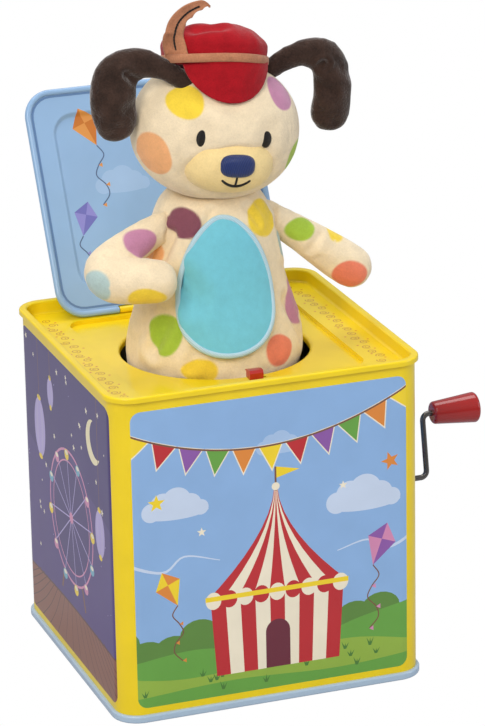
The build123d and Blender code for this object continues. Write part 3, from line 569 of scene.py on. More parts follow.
# %% Night and wheel
def wheel_shapes(x, y, radius, codes):
    """Big wheel on an A-frame, with spokes, rims and hanging cars."""
    hub = np.array([x, y])
    legs = [[hub, hub + (s * 0.3 * radius, -0.6 * radius), hub + (s * 0.55 * radius, -1.25 * radius)]
            for s in (-1, 1)]
    shapes = [(BROWN, stroke(leg, 1.8)) for leg in legs]
    for size, width, inside in ((radius, 1.1, DUSK), (radius * 0.84, 0.7, NIGHT)):
        shapes += [(codes[0], ring(x, y, size + width / 2, count=48)),
                   (inside, ring(x, y, size - width / 2, count=48))]
    a = around(12) + 0.13
    rim = hub + radius * np.stack([np.cos(a), np.sin(a)], 1)
    shapes += [(codes[1], stroke([hub, (hub + end) / 2, end], 0.6)) for end in rim]
    for k, (cx, cy) in enumerate(rim - (0, 2.2)):
        shapes += [(codes[2 + k % 3], ring(cx, cy, 3.0, 2.5, 20)), (CREAM, ring(cx, cy + 1.0, 2.0, 1.0, 16))]
    return shapes + [(codes[0], ring(x, y, 2.6, count=20))]


def night_shapes(wheel_x, lamps):
    """Stars, a big wheel, paper lamps and a boardwalk."""
    shapes = [(DUSK, slope((-75, 96), (-20, 84), (30, 92), (75, 82)))]
    drawn = [random.uniform(low, high, 46) for low, high in ((-62, 62), (40, 140), (0.5, 1.9))]
    for x, y, s in zip(*drawn):
        outline = star(x, y, s, 5, 0.4, x) if s > 1.1 else ring(x, y, s * 0.5, count=10)
        shapes.append((CREAM if s > 0.9 else LILAC, outline))
    shapes += wheel_shapes(wheel_x, 72, 31, [PINK, LILAC, YELLOW, PINK, "#6FB0C8"])
    for x, y, w, h in lamps:
        shapes += [(LILAC, ring(x, y, w, h)), (PALE_LILAC, ring(x, y, w * 0.62, h * 0.97)),
                   (LILAC, ring(x, y, w * 0.3, h * 0.95)), (YELLOW, ring(x, y + h, w * 0.34, 1.3, 16)),
                   (YELLOW, ring(x, y - h, w * 0.34, 1.3, 16)),
                   (BROWN, stroke([(x, y + h), (x, y + h + 9), (x, WALL_TOP)], 0.5))]
    crest = [(-75, 27), (0, 29), (75, 27)]
    joints = [stroke([(i * 5.2, 29), (i * 8.4, 16), (i * 12.5, 4)], 0.5) for i in range(-9, 10)]
    shapes.append((PLANK, slope(*crest)))
    return shapes + [(PLANK_LINE, line) for line in joints + [stroke(crest, 0.9)]]


def moon_shapes(x, y, size):
    """Crescent: a pale disc with the night in front of part of it."""
    return [(MOON, ring(x, y, size)), (NIGHT, ring(x + size * 0.42, y + size * 0.22, size * 0.86))]


# %% Wall prints
flag_codes = [YELLOW, RED, VIOLET, MID_HILL, ORANGE]
front = cloud_shapes(-44, 96, 7) + cloud_shapes(42, 88, 8) + cloud_shapes(4, 118, 5, GLASS_BLUE)
front += [(CLOUD, stroke([(-68, 74), (-50, 68), (-40, 74), (-24, 70)], 1.6, 0.25)),
          (CLOUD, stroke([(68, 70), (54, 64), (44, 69), (30, 66)], 1.6, 0.25))]
front += meadow_shapes(2) + tent_shapes(2, 16, 33, 84, [RED, CREAM, YELLOW])
front += kite_shapes(-47, 60, 7, 0.4, [YELLOW, ORANGE, BROWN], -1)
front += kite_shapes(50, 66, 8, -0.35, [VIOLET, PINK, BROWN], 1)
front += [(YELLOW, star(-52, 100, 4)), (ORANGE, star(55, 104, 4.4, turn=0.3)),
          (CREAM, star(-32, 84, 2.2)), (CREAM, star(33, 96, 2.0))]
front += bunting_shapes((-66, 133), (66, 139), 17, 11, 11, flag_codes)
left = moon_shapes(40, 120, 10) + night_shapes(4, [(-40, 100, 8, 14), (46, 80, 6.5, 11), (-22, 122, 4.5, 7)])
right = cloud_shapes(-20, 104, 8) + cloud_shapes(38, 120, 5) + meadow_shapes(5)
right += kite_shapes(-34, 84, 9, 0.3, [RED, CREAM, BROWN], 1)
right += kite_shapes(30, 76, 8, -0.4, [YELLOW, VIOLET, BROWN], -1)
right += tent_shapes(-44, 18, 15, 36, [VIOLET, CREAM, YELLOW])
right += tent_shapes(46, 20, 14, 32, [ORANGE, CREAM, RED])
right += bunting_shapes((-66, 138), (66, 133), 12, 11, 9, flag_codes)
back = moon_shapes(-44, 118, 9) + night_shapes(-8, [(42, 104, 8, 14), (-48, 74, 6, 10)])

picture_outline = frame_outline(62.6, 6.4, 142.2, 4.5)
reach = flat_half + CORNER_RADIUS * math.pi / 4
sheet_outline = [(-reach, 2.0), (reach, 2.0), (reach, 147.0), (-reach, 147.0)]
for name, quarter, sky, shapes in (("front", 0, SKY, front), ("right", 1, SKY, right),
                                   ("back", 2, NIGHT, back), ("left", 3, NIGHT, left)):
    art = print_sheet(name + "_wall_print", sheet_outline, (TIN_YELLOW, picture_outline, sky), shapes,
                      *on_wall(quarter), wall_folds)
    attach(art, "tin")

# %% [markdown]
# ### Lid and tray
#
# The lid is one pressed sheet, printed on both faces before its bead is rolled: kites on the inside,
# stars on the outside. Round each print, next to the bead, runs a darker blue band that is painted shade
# for the groove there. The print follows the step of the embossed panel. The tray's border carries faint
# scrolls and dots in a darker yellow.


# %% Lid prints
lid_high = box_mm("lid")[1]
hinge = sum(box_mm("lid_hinge_pin")) / 2 * (0, 1, 1)
LID_ANGLE, LID_DEPTH, LID_BEAD, LID_ROUND, TIN = 117.9, 106.0, 2.8, 10.2, 0.4
LID_INK_PROUD, PANEL_STEP, PANEL_INSET = 0.06, 1.6, 10.5
# LID_GROOVE_SHADE is painted shade: a darker blue that stands for the shadow in the groove beside the lid's
# bead.
LID_GROOVE_SHADE, LID_CLOUD, LID_ORANGE = "#5F80AC", "#9DBCE0", ["#C4742E", "#D8934A"]
lid_half = lid_high[X] - LID_BEAD
lid_middle = hinge[Y] + LID_BEAD / 2 - LID_DEPTH / 2
panel_half = np.array([lid_high[X], LID_DEPTH / 2]) - LID_BEAD / 2 - PANEL_INSET


def panel_distance(flat):
    """Distance outside the embossed panel's edge, and the direction away from it."""
    inner = np.abs(flat) - (panel_half - LID_ROUND)
    outside = np.maximum(inner, 0)
    length = np.linalg.norm(outside, axis=1)
    distance = length + np.minimum(inner.max(1), 0) - LID_ROUND
    corner_way = outside / np.maximum(length, 1e-6)[:, None]
    side_way = np.eye(2)[inner.argmax(1)]
    way = np.where((length > 1e-6)[:, None], corner_way, side_way) * np.sign(flat)
    return distance, way


def on_lid(face):
    """Placing and normal functions for the lid's inside, face -1, or its outside, face 1."""
    swing = turning(math.radians(-LID_ANGLE), X)

    def place(flat):
        """Points on the open lid for points x, y of the sheet."""
        flat = flat * (1, face)
        step = np.clip(-panel_distance(flat)[0], 0, PANEL_STEP) + face * (TIN / 2 + LID_INK_PROUD)
        closed = np.stack([flat[:, 0], flat[:, 1] + lid_middle - hinge[Y], step], 1)
        return closed @ swing + hinge

    def normal(flat):
        """The lid's normals there, leaning on the panel's rounded step."""
        distance, way = panel_distance(flat * (1, face))
        steep = np.clip((-distance + 0.5), 0, 1) * np.clip(distance + PANEL_STEP + 0.5, 0, 1)
        up = np.concatenate([way * steep[:, None], np.ones((len(flat), 1))], 1)
        return face * unit(up) @ swing

    return place, normal


def panel_fold(inset):
    """Closed line along the embossed panel's edge, pulled in by inset."""
    half = panel_half - inset
    edge = frame_outline(half[0], -half[1], half[1], LID_ROUND - inset)
    return np.vstack([edge, edge[:1]])


kites = cloud_shapes(22, -18, 8, LID_CLOUD) + cloud_shapes(-14, 6, 6, LID_CLOUD)
for x, y, size, turn, codes, tail in ((-26, 34, 7.5, 0.35, LID_ORANGE, 1),
                                      (-34, -8, 6.5, -0.3, ["#6F70B8", "#8A88CC"], -1),
                                      (14, 30, 7.0, -0.25, ["#C9BE6A", "#DDD086"], 1),
                                      (36, 8, 6.5, 0.3, LID_ORANGE, -1)):
    kites += kite_shapes(x, y, size, turn, codes + ["#50658A"], tail)
stars = [(YELLOW if k % 2 else CREAM, star(30 * math.cos(a), 30 * math.sin(a), 3.6))
         for k, a in enumerate(around(12))]
stars += [(YELLOW, star(0, 0, 17, 8, 0.6)), (ORANGE, star(0, 0, 12, 8, 0.6, 0.39)), (CREAM, ring(0, 0, 4))]
LID_MARGIN, SHADE_BAND_WIDTH = 0.1, 1.0
lid_x = lid_half - LID_MARGIN
rear = LID_DEPTH / 2 - LID_BEAD - LID_MARGIN
fore = LID_DEPTH / 2 - LID_BEAD - 0.9
for name, face, shapes in (("lid_inside_print", -1, kites), ("lid_outside_print", 1, stars)):
    low, high = (-rear, fore) if face > 0 else (-fore, rear)
    # Painted shade: the band between the sheet's edge and this line, next to the bead, takes the groove's
    # shade colour.
    line = frame_outline(lid_x - SHADE_BAND_WIDTH, low + SHADE_BAND_WIDTH, high - SHADE_BAND_WIDTH, LID_ROUND - SHADE_BAND_WIDTH)
    folds = [panel_fold(d) for d in (-0.5, 0.0, 0.5, PANEL_STEP - 0.5, PANEL_STEP, PANEL_STEP + 0.5)]
    art = print_sheet(name, frame_outline(lid_x, low, high, LID_ROUND), (LID_GROOVE_SHADE, line, LID_BLUE), shapes,
                      *on_lid(face), folds)
    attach(art, "lid")


# %% Tray scrolls
def scroll(middle, size, turn, hand):
    """Curl: a line that winds in on itself."""
    a = np.linspace(0, 1.5 * TAU, 14)
    r = size * (1 - a / (1.9 * TAU))
    return stroke(middle + r[:, None] * np.stack([np.cos(turn + hand * a), np.sin(turn + hand * a)], 1), 0.5)


BORDER_DEPTH, BORDER_MID, TRAY_HALF, BACK_GAP = 6.0, 60.0, 66.5, 56
border_z = box_mm("top_tray")[1][Z] - BORDER_DEPTH
scrolls = []
for quarter in range(4):
    spin = turning(quarter * math.pi / 2, Z)[:2, :2]
    for k, x in enumerate(np.arange(-57, 58, 6.4)):
        if quarter == 2 and abs(x) < BACK_GAP:
            continue
        spot = np.array([x, -BORDER_MID + 1.2 * math.sin(2.3 * k)])
        hand = 1 if k % 2 else -1
        scrolls.append(("#C8921C", scroll(spot @ spin, 2.3, 0.9 * k + quarter * math.pi / 2, hand)))
        scrolls.append(("#D8842A", ring(*((spot + (3.2, -3 * hand)) @ spin), 0.55, count=10)))
square = frame_outline(TRAY_HALF, -TRAY_HALF, TRAY_HALF, 6)
art = print_sheet("tray_scroll_print", square, (TIN_YELLOW, square * 0.999, TIN_YELLOW), scrolls,
                  lambda flat: np.column_stack([flat, np.full(len(flat), border_z + INK_PROUD)]),
                  lambda flat: np.tile((0.0, 0.0, 1.0), (len(flat), 1)), shapes_only=True)
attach(art, "tin")

# %% [markdown]
# ## Cloth, plush and thread
#
# The puppy is sewn from short-pile fleece printed with round spots. Its ears are longer, darker plush,
# the tummy is satin bound with a thread edge, the nose and eyes are satin stitch, and the hat is felt. Pile
# scatters light at the edges, so each cloth has sheen, a fine nap as bumps and a blotchy tone.


# %% Soft materials
def cloth(name, ink=None, nap=0.8, height=0.26, sheen=0.35, blotch=0.08, gloss=0.15):
    """Cloth with pile tufts of size nap. With no ink given, the colours come from the piece's dye."""
    made, tree, shader = material(name, Roughness=0.85, Sheen_Weight=sheen, Sheen_Roughness=0.4,
                                  Specular_IOR_Level=gloss)
    tufts = noise(tree, 1 / (nap * MM), 4.0, 0.6)
    patches = noise(tree, 1 / (7 * nap * MM), 2.0)
    both = node(tree, "Math", {0: tufts, 1: patches}, operation="ADD").outputs[0]
    ink_tone(tree, shader, ink, "dye", both, (0.7, 1.3), blotch)
    bump(tree, shader, tufts, height, bump(tree, shader, patches, 1.5 * height))
    return made


def thread(name, code, pitch, turn, sheen=0.12, gloss=0.4, shade=0.6):
    """Satin stitch: parallel threads of that pitch in mm, lying at an angle across the face, with
    painted shade darkening the grooves between the threads."""
    made, tree, shader = material(name, Roughness=0.45, Sheen_Weight=sheen, Specular_IOR_Level=gloss)
    place = node(tree, "TexCoord").outputs["Object"]
    lay = node(tree, "Mapping", {"Vector": place, "Rotation": (0.0, turn, 0.0)}).outputs[0]
    wave = {"Vector": lay, "Scale": 0.314 / (pitch * MM), "Distortion": 0.6, "Detail": 1.0}
    rows = node(tree, "TexWave", wave, bands_direction="X").outputs["Fac"]
    # Painted shade: between the threads the colour falls to a share, shade, of the thread's own, for the
    # shadow in the grooves.
    dark = tuple(v * shade for v in colour(code)[:3]) + (1.0,)
    thread_with_gap_shade = node(tree, "Mix", {0: rows}, data_type="RGBA")
    thread_with_gap_shade.inputs[6].default_value = dark
    thread_with_gap_shade.inputs[7].default_value = colour(code)
    tree.links.new(thread_with_gap_shade.outputs[2], shader.inputs["Base Color"])
    bump(tree, shader, rows, 0.12)
    return made


fleece = cloth("printed short pile fleece")
muzzle_fleece = cloth("pale yellow fleece", "#F4DA9C", blotch=0.07)
# The brown plush's strong blotchy tone is partly uneven pile and partly painted sheen: lighter patches of
# colour where the pile catches light.
brown_plush = cloth("dark brown plush", "#3A2A23", nap=0.9, height=0.42, sheen=0.6, blotch=0.42)
red_felt = cloth("red felt", "#A5121E", nap=0.6, height=0.2, sheen=0.2, blotch=0.16)
tan_felt = cloth("tan felt", "#B57C5C", nap=0.7, height=0.24, sheen=0.25, blotch=0.22)
aqua_satin = cloth("aqua brushed satin", "#73C6DA", nap=0.5, height=0.06, sheen=0.5, blotch=0.05, gloss=0.4)
navy_thread = thread("navy satin stitch", "#1A3272", 0.75, 0.25)
black_thread = thread("black satin stitch", "#15110F", 0.6, 1.3, sheen=0.1, gloss=0.3)
pale_thread = thread("pale blue edge stitch", "#BFE2F2", 0.8, 0.8, shade=0.82)
print("nine soft materials")


# %% Dye, creases and stuffing
FLEECE = "#F1DFBE"
PRESSURE, CLOTH_FRAMES, SUBDIVISIONS = 4.0, 20, 2


def triples(layer, field):
    """That field of each of the layer's elements, as rows of three."""
    flat = np.empty(len(layer) * 3, np.float32)
    layer.foreach_get(field, flat)
    return flat.reshape(-1, 3).astype(float)


def points_of(piece):
    """The piece's vertices in mm."""
    return triples(piece.data.vertices, "co") / MM


def move_points(piece, points):
    """Puts the piece's vertices at points in mm."""
    piece.data.vertices.foreach_set("co", (points * MM).astype(np.float32).ravel())
    piece.data.update()


def press(piece, depth):
    """Moves each vertex inwards along its normal by depth in mm."""
    move_points(piece, points_of(piece) - triples(piece.data.vertex_normals, "vector") * depth[:, None])


def dye(piece, *spots):
    """Prints soft-edged spots on cream: each is (middle, three half-widths, ink). The edge wobbles a
    little."""
    p = points_of(piece)
    shade = np.tile(np.array(colour(FLEECE)), (len(p), 1))
    for middle, half_widths, code in spots:
        away = (p - middle) / half_widths
        wobble = 1 + 0.04 * np.sin(3 * np.arctan2(away[:, 2], away[:, 0]) + middle[0])
        soft_edge = 0.7 / min(half_widths)
        inside = np.clip((wobble - np.linalg.norm(away, axis=1)) / soft_edge + 0.5, 0, 1)[:, None]
        shade = shade * (1 - inside) + np.array(colour(code)) * inside
    layer = piece.data.attributes.new("dye", "FLOAT_COLOR", "POINT")
    layer.data.foreach_set("color", shade.astype(np.float32).ravel())


def dent(piece, *creases):
    """Presses creases into the skin. Each is (start, end, width, depth): along the segment, depth
    exp(-(distance / width)^2) inwards, with a low ridge of cloth beside it."""
    p = points_of(piece)
    push = np.zeros(len(p))
    for start, end, width, depth in creases:
        start, line = np.array(start, float), np.array(end, float) - start
        along = np.clip((p - start) @ line / (line @ line), 0, 1)
        away = np.linalg.norm(p - start - along[:, None] * line, axis=1) / width
        push += depth * (np.exp(-(away**2)) - 0.35 * np.exp(-((away - 1.9) ** 2) * 1.5))
    press(piece, push)


def bake(piece):
    """Applies the piece's modifiers."""
    mesh = bpy.data.meshes.new_from_object(piece.evaluated_get(bpy.context.evaluated_depsgraph_get()))
    piece.modifiers.clear()
    piece.data = mesh


def stuff(pieces, voxel, most):
    """Fills sewn shapes: each gets an even mesh, swells as pressurised cloth with no point moving
    further than most mm, and is then rounded by subdivision."""
    rest = []
    for piece in pieces:
        remesh = piece.modifiers.new("even", "REMESH")
        remesh.mode, remesh.voxel_size = "VOXEL", voxel * MM
        bake(piece)
        rest.append(points_of(piece))
        fill = piece.modifiers.new("fill", "CLOTH")
        fill.settings.use_pressure = True
        fill.settings.uniform_pressure_force = PRESSURE
        fill.settings.effector_weights.gravity = 0
        fill.settings.shrink_min = -0.05
        fill.point_cache.frame_end = CLOTH_FRAMES
    for step in range(1, CLOTH_FRAMES + 1):
        bpy.context.scene.frame_set(step)
    for piece, before in zip(pieces, rest):
        bake(piece)
        move = points_of(piece) - before
        far = np.linalg.norm(move, axis=1)[:, None]
        print(piece.name, len(before), "points, moved", round(float(far.mean()), 2), "mm")
        move_points(piece, before + move * np.minimum(1, most / np.maximum(far, 1e-9)))
        rounder = piece.modifiers.new("round", "SUBSURF")
        rounder.levels = rounder.render_levels = SUBDIVISIONS
        bake(piece)
        piece.data.polygons.foreach_set("use_smooth", [True] * len(piece.data.polygons))
    bpy.context.scene.frame_set(1)


def dress(piece, body, stands_for=(), squash=None):
    """Hides the CAD nodes the piece stands for and attaches it to the body it moves with. When squash is
    given the piece gets a mesh of its own; the squash is not applied.
    """
    if stands_for:
        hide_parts(*stands_for)
    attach(piece, body)
    if squash:
        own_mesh(piece)


# %% [markdown]
# ## The puppy's shapes
#
# The body is a sewn cone of fleece pulled over the coil spring: it is gathered on the spring's seat in
# the box and stuffed above the lid. The head is a wide ball tilted a little, the arms are stuffed tubes,
# one stretched out and one bent to the tummy, and the ears are flatter tubes that stand out and hang.

# %% Plain shapes before stuffing
HEAD_MIDDLE = np.array([0.0, -6.0, 243.0])
HEAD_HALF = np.array([36.5, 30.0, 30.0])
HEAD_TILT = 7
NECK_TOP = 214.2
SWELL = 0.7


def on_head(points):
    """Points given from the head's middle, placed and tilted with the head."""
    return HEAD_MIDDLE + np.asarray(points, float) @ turning(math.radians(HEAD_TILT), Y)


def ball_grid(half, power=2.0, rows=60, columns=90):
    """Superellipsoid |x/a|^n + |y/b|^n + |z/c|^n = 1 as rows from top to bottom."""
    polar, a = np.meshgrid(np.linspace(0.02, math.pi - 0.02, rows), around(columns), indexing="ij")
    way = np.stack([np.sin(polar) * np.cos(a), np.sin(polar) * np.sin(a), np.cos(polar)], -1)
    size = (np.abs(way) ** power).sum(-1) ** (-1 / power)
    return way * size[..., None] * np.array(half)


body_line = smooth_path([(23.6, 1.5), (30.0, 5.0), (34.0, 12.0), (35.5, 40.0), (36.5, 90.0), (37.0, 122.0),
                         (40.0, 138.0), (40.4, 144.0), (39.4, 150.0), (36.0, 160.0), (32.0, 172.0),
                         (29.9, 184.0), (28.2, 195.0), (26.2, 203.0), (23.2, 209.5), (19.5, 213.6)], 120)


def on_body(angle, height, proud=0.0):
    """Points on the body at angles from the front, towards +X, and heights. The cone's own radius gets
    gathers at the neck and soft folds lower down: r + sum of 0.5 cos(n angle) exp(-(height share)^2)."""
    r = np.interp(height, body_line[:, 1], body_line[:, 0]) + proud
    folds = ((13, 0.6, 210, 5), (7, 1.1, 134, 14), (3, height / 40 - 0.4, 170, 30))
    for count, shift, middle, spread in folds:
        r = r + 0.5 * np.cos(count * angle + shift) * np.exp(-(((height - middle) / spread) ** 2))
    return np.stack([r * np.sin(angle), -r * np.cos(angle), height], -1)


height, angle = np.meshgrid(body_line[:, 1], around(120), indexing="ij")
body = grid_piece("body_plush", on_body(angle, height, -SWELL), fleece)
head_grid = on_head(ball_grid(HEAD_HALF - SWELL, 2.1))
head_grid[..., Z] = np.maximum(head_grid[..., Z], NECK_TOP + 0.4)
head = grid_piece("head_plush", head_grid, fleece)


def limb_piece(name, route, widths, finish, flat=1.0):
    """Stuffed tube along a route of points, whose radius runs through the given widths."""
    path = smooth_path(route, 70)
    radius = np.interp(np.linspace(0, 1, 70), np.linspace(0, 1, len(widths)), widths)
    return grid_piece(name, tube_grid(path, radius - SWELL, 40, flat), finish)


near_arm = limb_piece("near_arm", [(-14, -3, 203), (-26, -5, 201), (-41, -9, 194.5), (-52.5, -12.5, 187),
                                   (-50, -20, 184.4), (-37, -26.5, 184), (-26.8, -29.5, 183.8)],
                      [6.5, 7.2, 8.4, 9.8, 10.2, 10.0, 9.8], fleece)
far_arm = limb_piece("far_arm", [(14, -2, 205), (26, -3, 199), (42, -5.3, 188), (60, -8, 174.6),
                                 (68.5, -9.2, 169.0)], [6.2, 6.9, 8.4, 9.8, 9.8], fleece)
right_ear = limb_piece("right_ear_plush", [(-11, -18, 263), (-20, -17.5, 270), (-29, -14, 275),
                                           (-37, -10.5, 276.4), (-44.9, -9, 271), (-46.4, -9.5, 261),
                                           (-45.4, -9.5, 252), (-44.4, -9.5, 243.9)],
                       [4.4, 4.9, 5.6, 7.0, 9.6, 10.6, 9.8, 9.4], brown_plush, 0.72)
left_ear = limb_piece("left_ear_plush", [(18, -5, 259), (29, -6, 267.6), (40, -7.5, 271.8),
                                         (50.4, -8.5, 269.5), (53.0, -9.5, 258), (51.6, -9.5, 247),
                                         (49.4, -9.5, 237.7)],
                      [4.4, 5.2, 6.2, 7.8, 8.9, 9.3, 9.2], brown_plush, 0.72)

# %% Stuffing the shapes
stuff([body], 3.0, 2 * SWELL)
stuff([head, near_arm, far_arm, right_ear, left_ear], 2.2, 2 * SWELL)


# %% [markdown]
# ## Creases and printed spots
#
# Seams and bends pull the fleece into creases: at the elbow and the armpits, where the neck is gathered,
# under the chin, and inside the bend of each ear. The spots are printed on the fleece before it is cut,
# so they run on over the seams. For when the figure goes down, squashes are worked out: what is pulled
# over the spring towards its own lower end, and the arms and ears sideways towards the middle. They are
# not applied here.

# %% Body and arms
SPOT_YELLOW, SPOT_MAUVE, SPOT_PLUM, SPOT_PEACH = "#F3D344", "#C488A8", "#86505F", "#F1B27C"
SPOT_GREEN, SPOT_BLUE, SPOT_CORAL = "#A6C545", "#B4CBC9", "#EA8468"
TRAVEL = 160.0


def down_flat(name):
    """Squash of what stands for a CAD node, towards its lower end, by the figure's travel."""
    low, high = box_mm(name)
    return (0, 0, 1), (0, 0, float(low[Z]) * MM), float(1 - TRAVEL / (high[Z] - low[Z]))


body_flat = down_flat("body_sleeve")
sideways_flat = ((1, 0, 0), (0, 0, 0), 0.42)
dent(body, ((-24, -14, 200), (-31, -10, 180), 2.6, 2.8), ((-28, -22, 170), (-35, -17, 150), 3.4, 2.3),
     ((-24, -26, 181), (-21, -30, 176), 6.0, 3.1), ((25, -12, 199), (29, -13, 186), 2.4, 2.1),
     ((-8, -22, 211), (-12, -26, 203), 2.0, 1.4), ((9, -22, 211), (14, -24, 204), 2.0, 1.3),
     ((27, -22, 166), (35, -19, 147), 3.2, 2.3), ((-18, -34, 158), (-24, -33, 145), 3.0, 1.9),
     ((-12, -24, 207), (-18, -24, 196), 1.8, 1.7))
dye(body, ((-21, -20, 206), (9, 12, 7), SPOT_PLUM), ((17, -22, 205), (9, 12, 8.5), SPOT_YELLOW),
    ((34, -14, 163), (9, 9, 11), SPOT_MAUVE), ((-31, -22, 158), (8, 10, 9.5), SPOT_GREEN),
    ((20, -36, 148), (9, 10, 7.5), SPOT_CORAL), ((-20, -36, 143), (9, 9, 6), SPOT_YELLOW),
    ((31, -4, 188), (8, 9, 10), SPOT_BLUE), ((-31, -2, 190), (8, 10, 9), SPOT_PEACH),
    ((0, 33, 170), (12, 10, 14), SPOT_YELLOW), ((-22, 26, 190), (8, 9, 8), SPOT_MAUVE),
    ((24, 25, 195), (8, 9, 9), SPOT_GREEN), ((26, 28, 152), (10, 9, 9), SPOT_PLUM),
    ((-28, 27, 152), (9, 10, 9), SPOT_CORAL))
dress(body, "tin", ["body_sleeve"], body_flat)
dent(near_arm, ((-46, -14, 180), (-42, -12, 190), 2.0, 1.6), ((-40, -22, 190), (-54, -17, 193), 2.0, 1.6),
     ((-24, -11, 199), (-22, -9, 207), 1.8, 0.9))
dye(near_arm, ((-38, -14, 198), (8, 9, 6), SPOT_MAUVE), ((-58, -20, 184), (7, 8, 7), SPOT_BLUE),
    ((-42, -34, 178), (9, 8, 6), SPOT_YELLOW), ((-46, -4, 182), (9, 7, 7), SPOT_CORAL))
dent(far_arm, ((24, -9, 199), (27, -7, 206), 1.8, 1.4), ((40, -14, 184), (47, -13, 193), 1.8, 1.1))
dye(far_arm, ((37, -10, 194), (7, 7, 5), SPOT_GREEN), ((58, -15, 172), (8, 8, 7), SPOT_CORAL),
    ((52, -6, 187), (6, 7, 5), SPOT_YELLOW), ((48, 4, 180), (8, 6, 6), SPOT_PLUM))
dress(near_arm, "figure", ["right_arm"], sideways_flat)
dress(far_arm, "figure", ["left_arm"], sideways_flat)

# %% Coil spring
TURNS, PER_TURN, WIRE = 9, 40, 1.0
coil_low, coil_high = box_mm("pop_spring")
a = np.linspace(0, TAU * TURNS, TURNS * PER_TURN + 1)
coil_radius = (coil_high[X] - coil_low[X]) / 2 - WIRE
climb = np.interp(a, [0, TAU, TAU * (TURNS - 1), TAU * TURNS],
                  [coil_low[Z] + WIRE, coil_low[Z] + 3 * WIRE, coil_high[Z] - 3 * WIRE, coil_high[Z] - WIRE])
helix = np.stack([coil_radius * np.cos(a), coil_radius * np.sin(a), climb], 1)
spring = grid_piece("coil_spring", tube_grid(helix, WIRE, 12, sideways=(0, 0, 1)), bright_steel)
dress(spring, "tin", ["pop_spring"], down_flat("pop_spring"))
print("body, arms and spring done")

# %% [markdown]
# ## Tummy
#
# The tummy is an egg of brushed satin laid on the body over a thin pad, and the binding is a dense edge
# stitch that hides its raw edge. The puppy's right hand presses a hollow in it.

# %% Tummy
EGG_MIDDLE, EGG_HALF_HEIGHT, EGG_HALF_WIDTH, EGG_TURN = 179.5, 29.0, 20.8, math.radians(-8.5)
BODY_RADIUS_THERE = 31.0


def egg(share, a):
    """Angle and height on the body of a point at a share of the egg's outline, which is narrower at its
    top: half-width w (1 - 0.12 sin a)."""
    width = EGG_HALF_WIDTH * (1 - 0.12 * np.sin(a))
    high = EGG_MIDDLE + share * EGG_HALF_HEIGHT * np.sin(a)
    return EGG_TURN + share * width * np.cos(a) / BODY_RADIUS_THERE, high


inwards = np.linspace(0.97, 0.01, 60)
share = np.concatenate([np.linspace(0.04, 1, 12), np.linspace(1, 0.985, 4), inwards])
lift = np.concatenate([np.full(12, -1.2), np.linspace(-0.8, 0.9, 4), 1.3 - 0.4 * inwards**8])
row, a = np.meshgrid(np.arange(len(share)), around(120), indexing="ij")
tummy = grid_piece("tummy_patch", on_body(*egg(share[row], a), lift[row] + SWELL), aqua_satin)
dent(tummy, ((-24, -26, 181), (-21, -30, 176), 6.0, 2.6))
dress(tummy, "tin", ["belly_patch"], body_flat)

a = around(180)
angle, height = egg(1.0, a)
edge_line = on_body(angle, height, 0.6 + SWELL)
outward = np.stack([np.sin(angle), -np.cos(angle), 0 * a], 1)
across = unit(np.cross(outward, np.roll(edge_line, -1, 0) - np.roll(edge_line, 1, 0)))
s = around(12)[None, :, None]
stitch = (1 + 0.1 * np.sin(a * 90))[:, None, None]
section = across[:, None] * 1.25 * np.cos(s) + outward[:, None] * 0.85 * np.sin(s)
binding = grid_piece("tummy_binding", edge_line[:, None] + section * stitch, pale_thread, loop=True)
dress(binding, "tin", (), body_flat)
print("tummy done")

# %% [markdown]
# ## Head, face and ears
#
# The muzzle is a stuffed pad of pale fleece sewn to the head. The nose, the eyes and the smile are
# machine satin stitch, which pulls the fleece in around it.

# %% Head and face
MUZZLE_MIDDLE, MUZZLE_HALF, MUZZLE_POWER = np.array([0, -18, -9.9]), np.array([20.3, 15.0, 13.2]), 2.25
muzzle_away = np.linalg.norm((points_of(head) - on_head(MUZZLE_MIDDLE)) / MUZZLE_HALF, axis=1) - 1
press(head, 2.3 * np.exp(-((muzzle_away / 0.13) ** 2)))
eye_spots = []
for x, z in ((-15.4, 2.0), (13.6, 2.0)):
    y = -HEAD_HALF[Y] * math.sqrt(1 - (x / HEAD_HALF[X]) ** 2 - (z / HEAD_HALF[Z]) ** 2)
    eye_spots.append(np.array([x, y, z]))
dent(head, *[(on_head(e - (0, 0, 3)), on_head(e + (0, 0, 3)), 4.0, 1.1) for e in eye_spots])
dye(head, ((27, -24, 262), (9, 12, 9), SPOT_MAUVE), ((-34, -20, 238), (9, 12, 10), SPOT_PEACH),
    ((-20, -27, 262), (8, 12, 7), SPOT_YELLOW), ((33, -20, 230), (8, 12, 8), SPOT_GREEN),
    ((-8, 24, 250), (11, 9, 11), SPOT_CORAL), ((22, 20, 240), (9, 9, 9), SPOT_YELLOW),
    ((-30, 10, 226), (9, 9, 8), SPOT_BLUE), ((2, 20, 225), (9, 9, 7), SPOT_PLUM))
dress(head, "figure", ["head"], None)

pad = MUZZLE_MIDDLE + ball_grid(MUZZLE_HALF, MUZZLE_POWER, 70, 110)
muzzle = grid_piece("muzzle_pad", on_head(pad), muzzle_fleece)
dress(muzzle, "figure", ["muzzle"], None)
nose = grid_piece("stitched_nose", on_head((0, -29.4, -8.6) + ball_grid((8.2, 5.8, 5.2), 2.8)), navy_thread)
dress(nose, "figure", ["nose"])


def muzzle_front(x, z):
    """Point on the muzzle's front at x and z from its own middle."""
    share = 1 - np.abs(x / MUZZLE_HALF[X]) ** MUZZLE_POWER - np.abs(z / MUZZLE_HALF[Z]) ** MUZZLE_POWER
    y = -MUZZLE_HALF[Y] * np.clip(share, 0.02, 1) ** (1 / MUZZLE_POWER)
    return on_head(MUZZLE_MIDDLE + np.stack([x, y, z], -1))


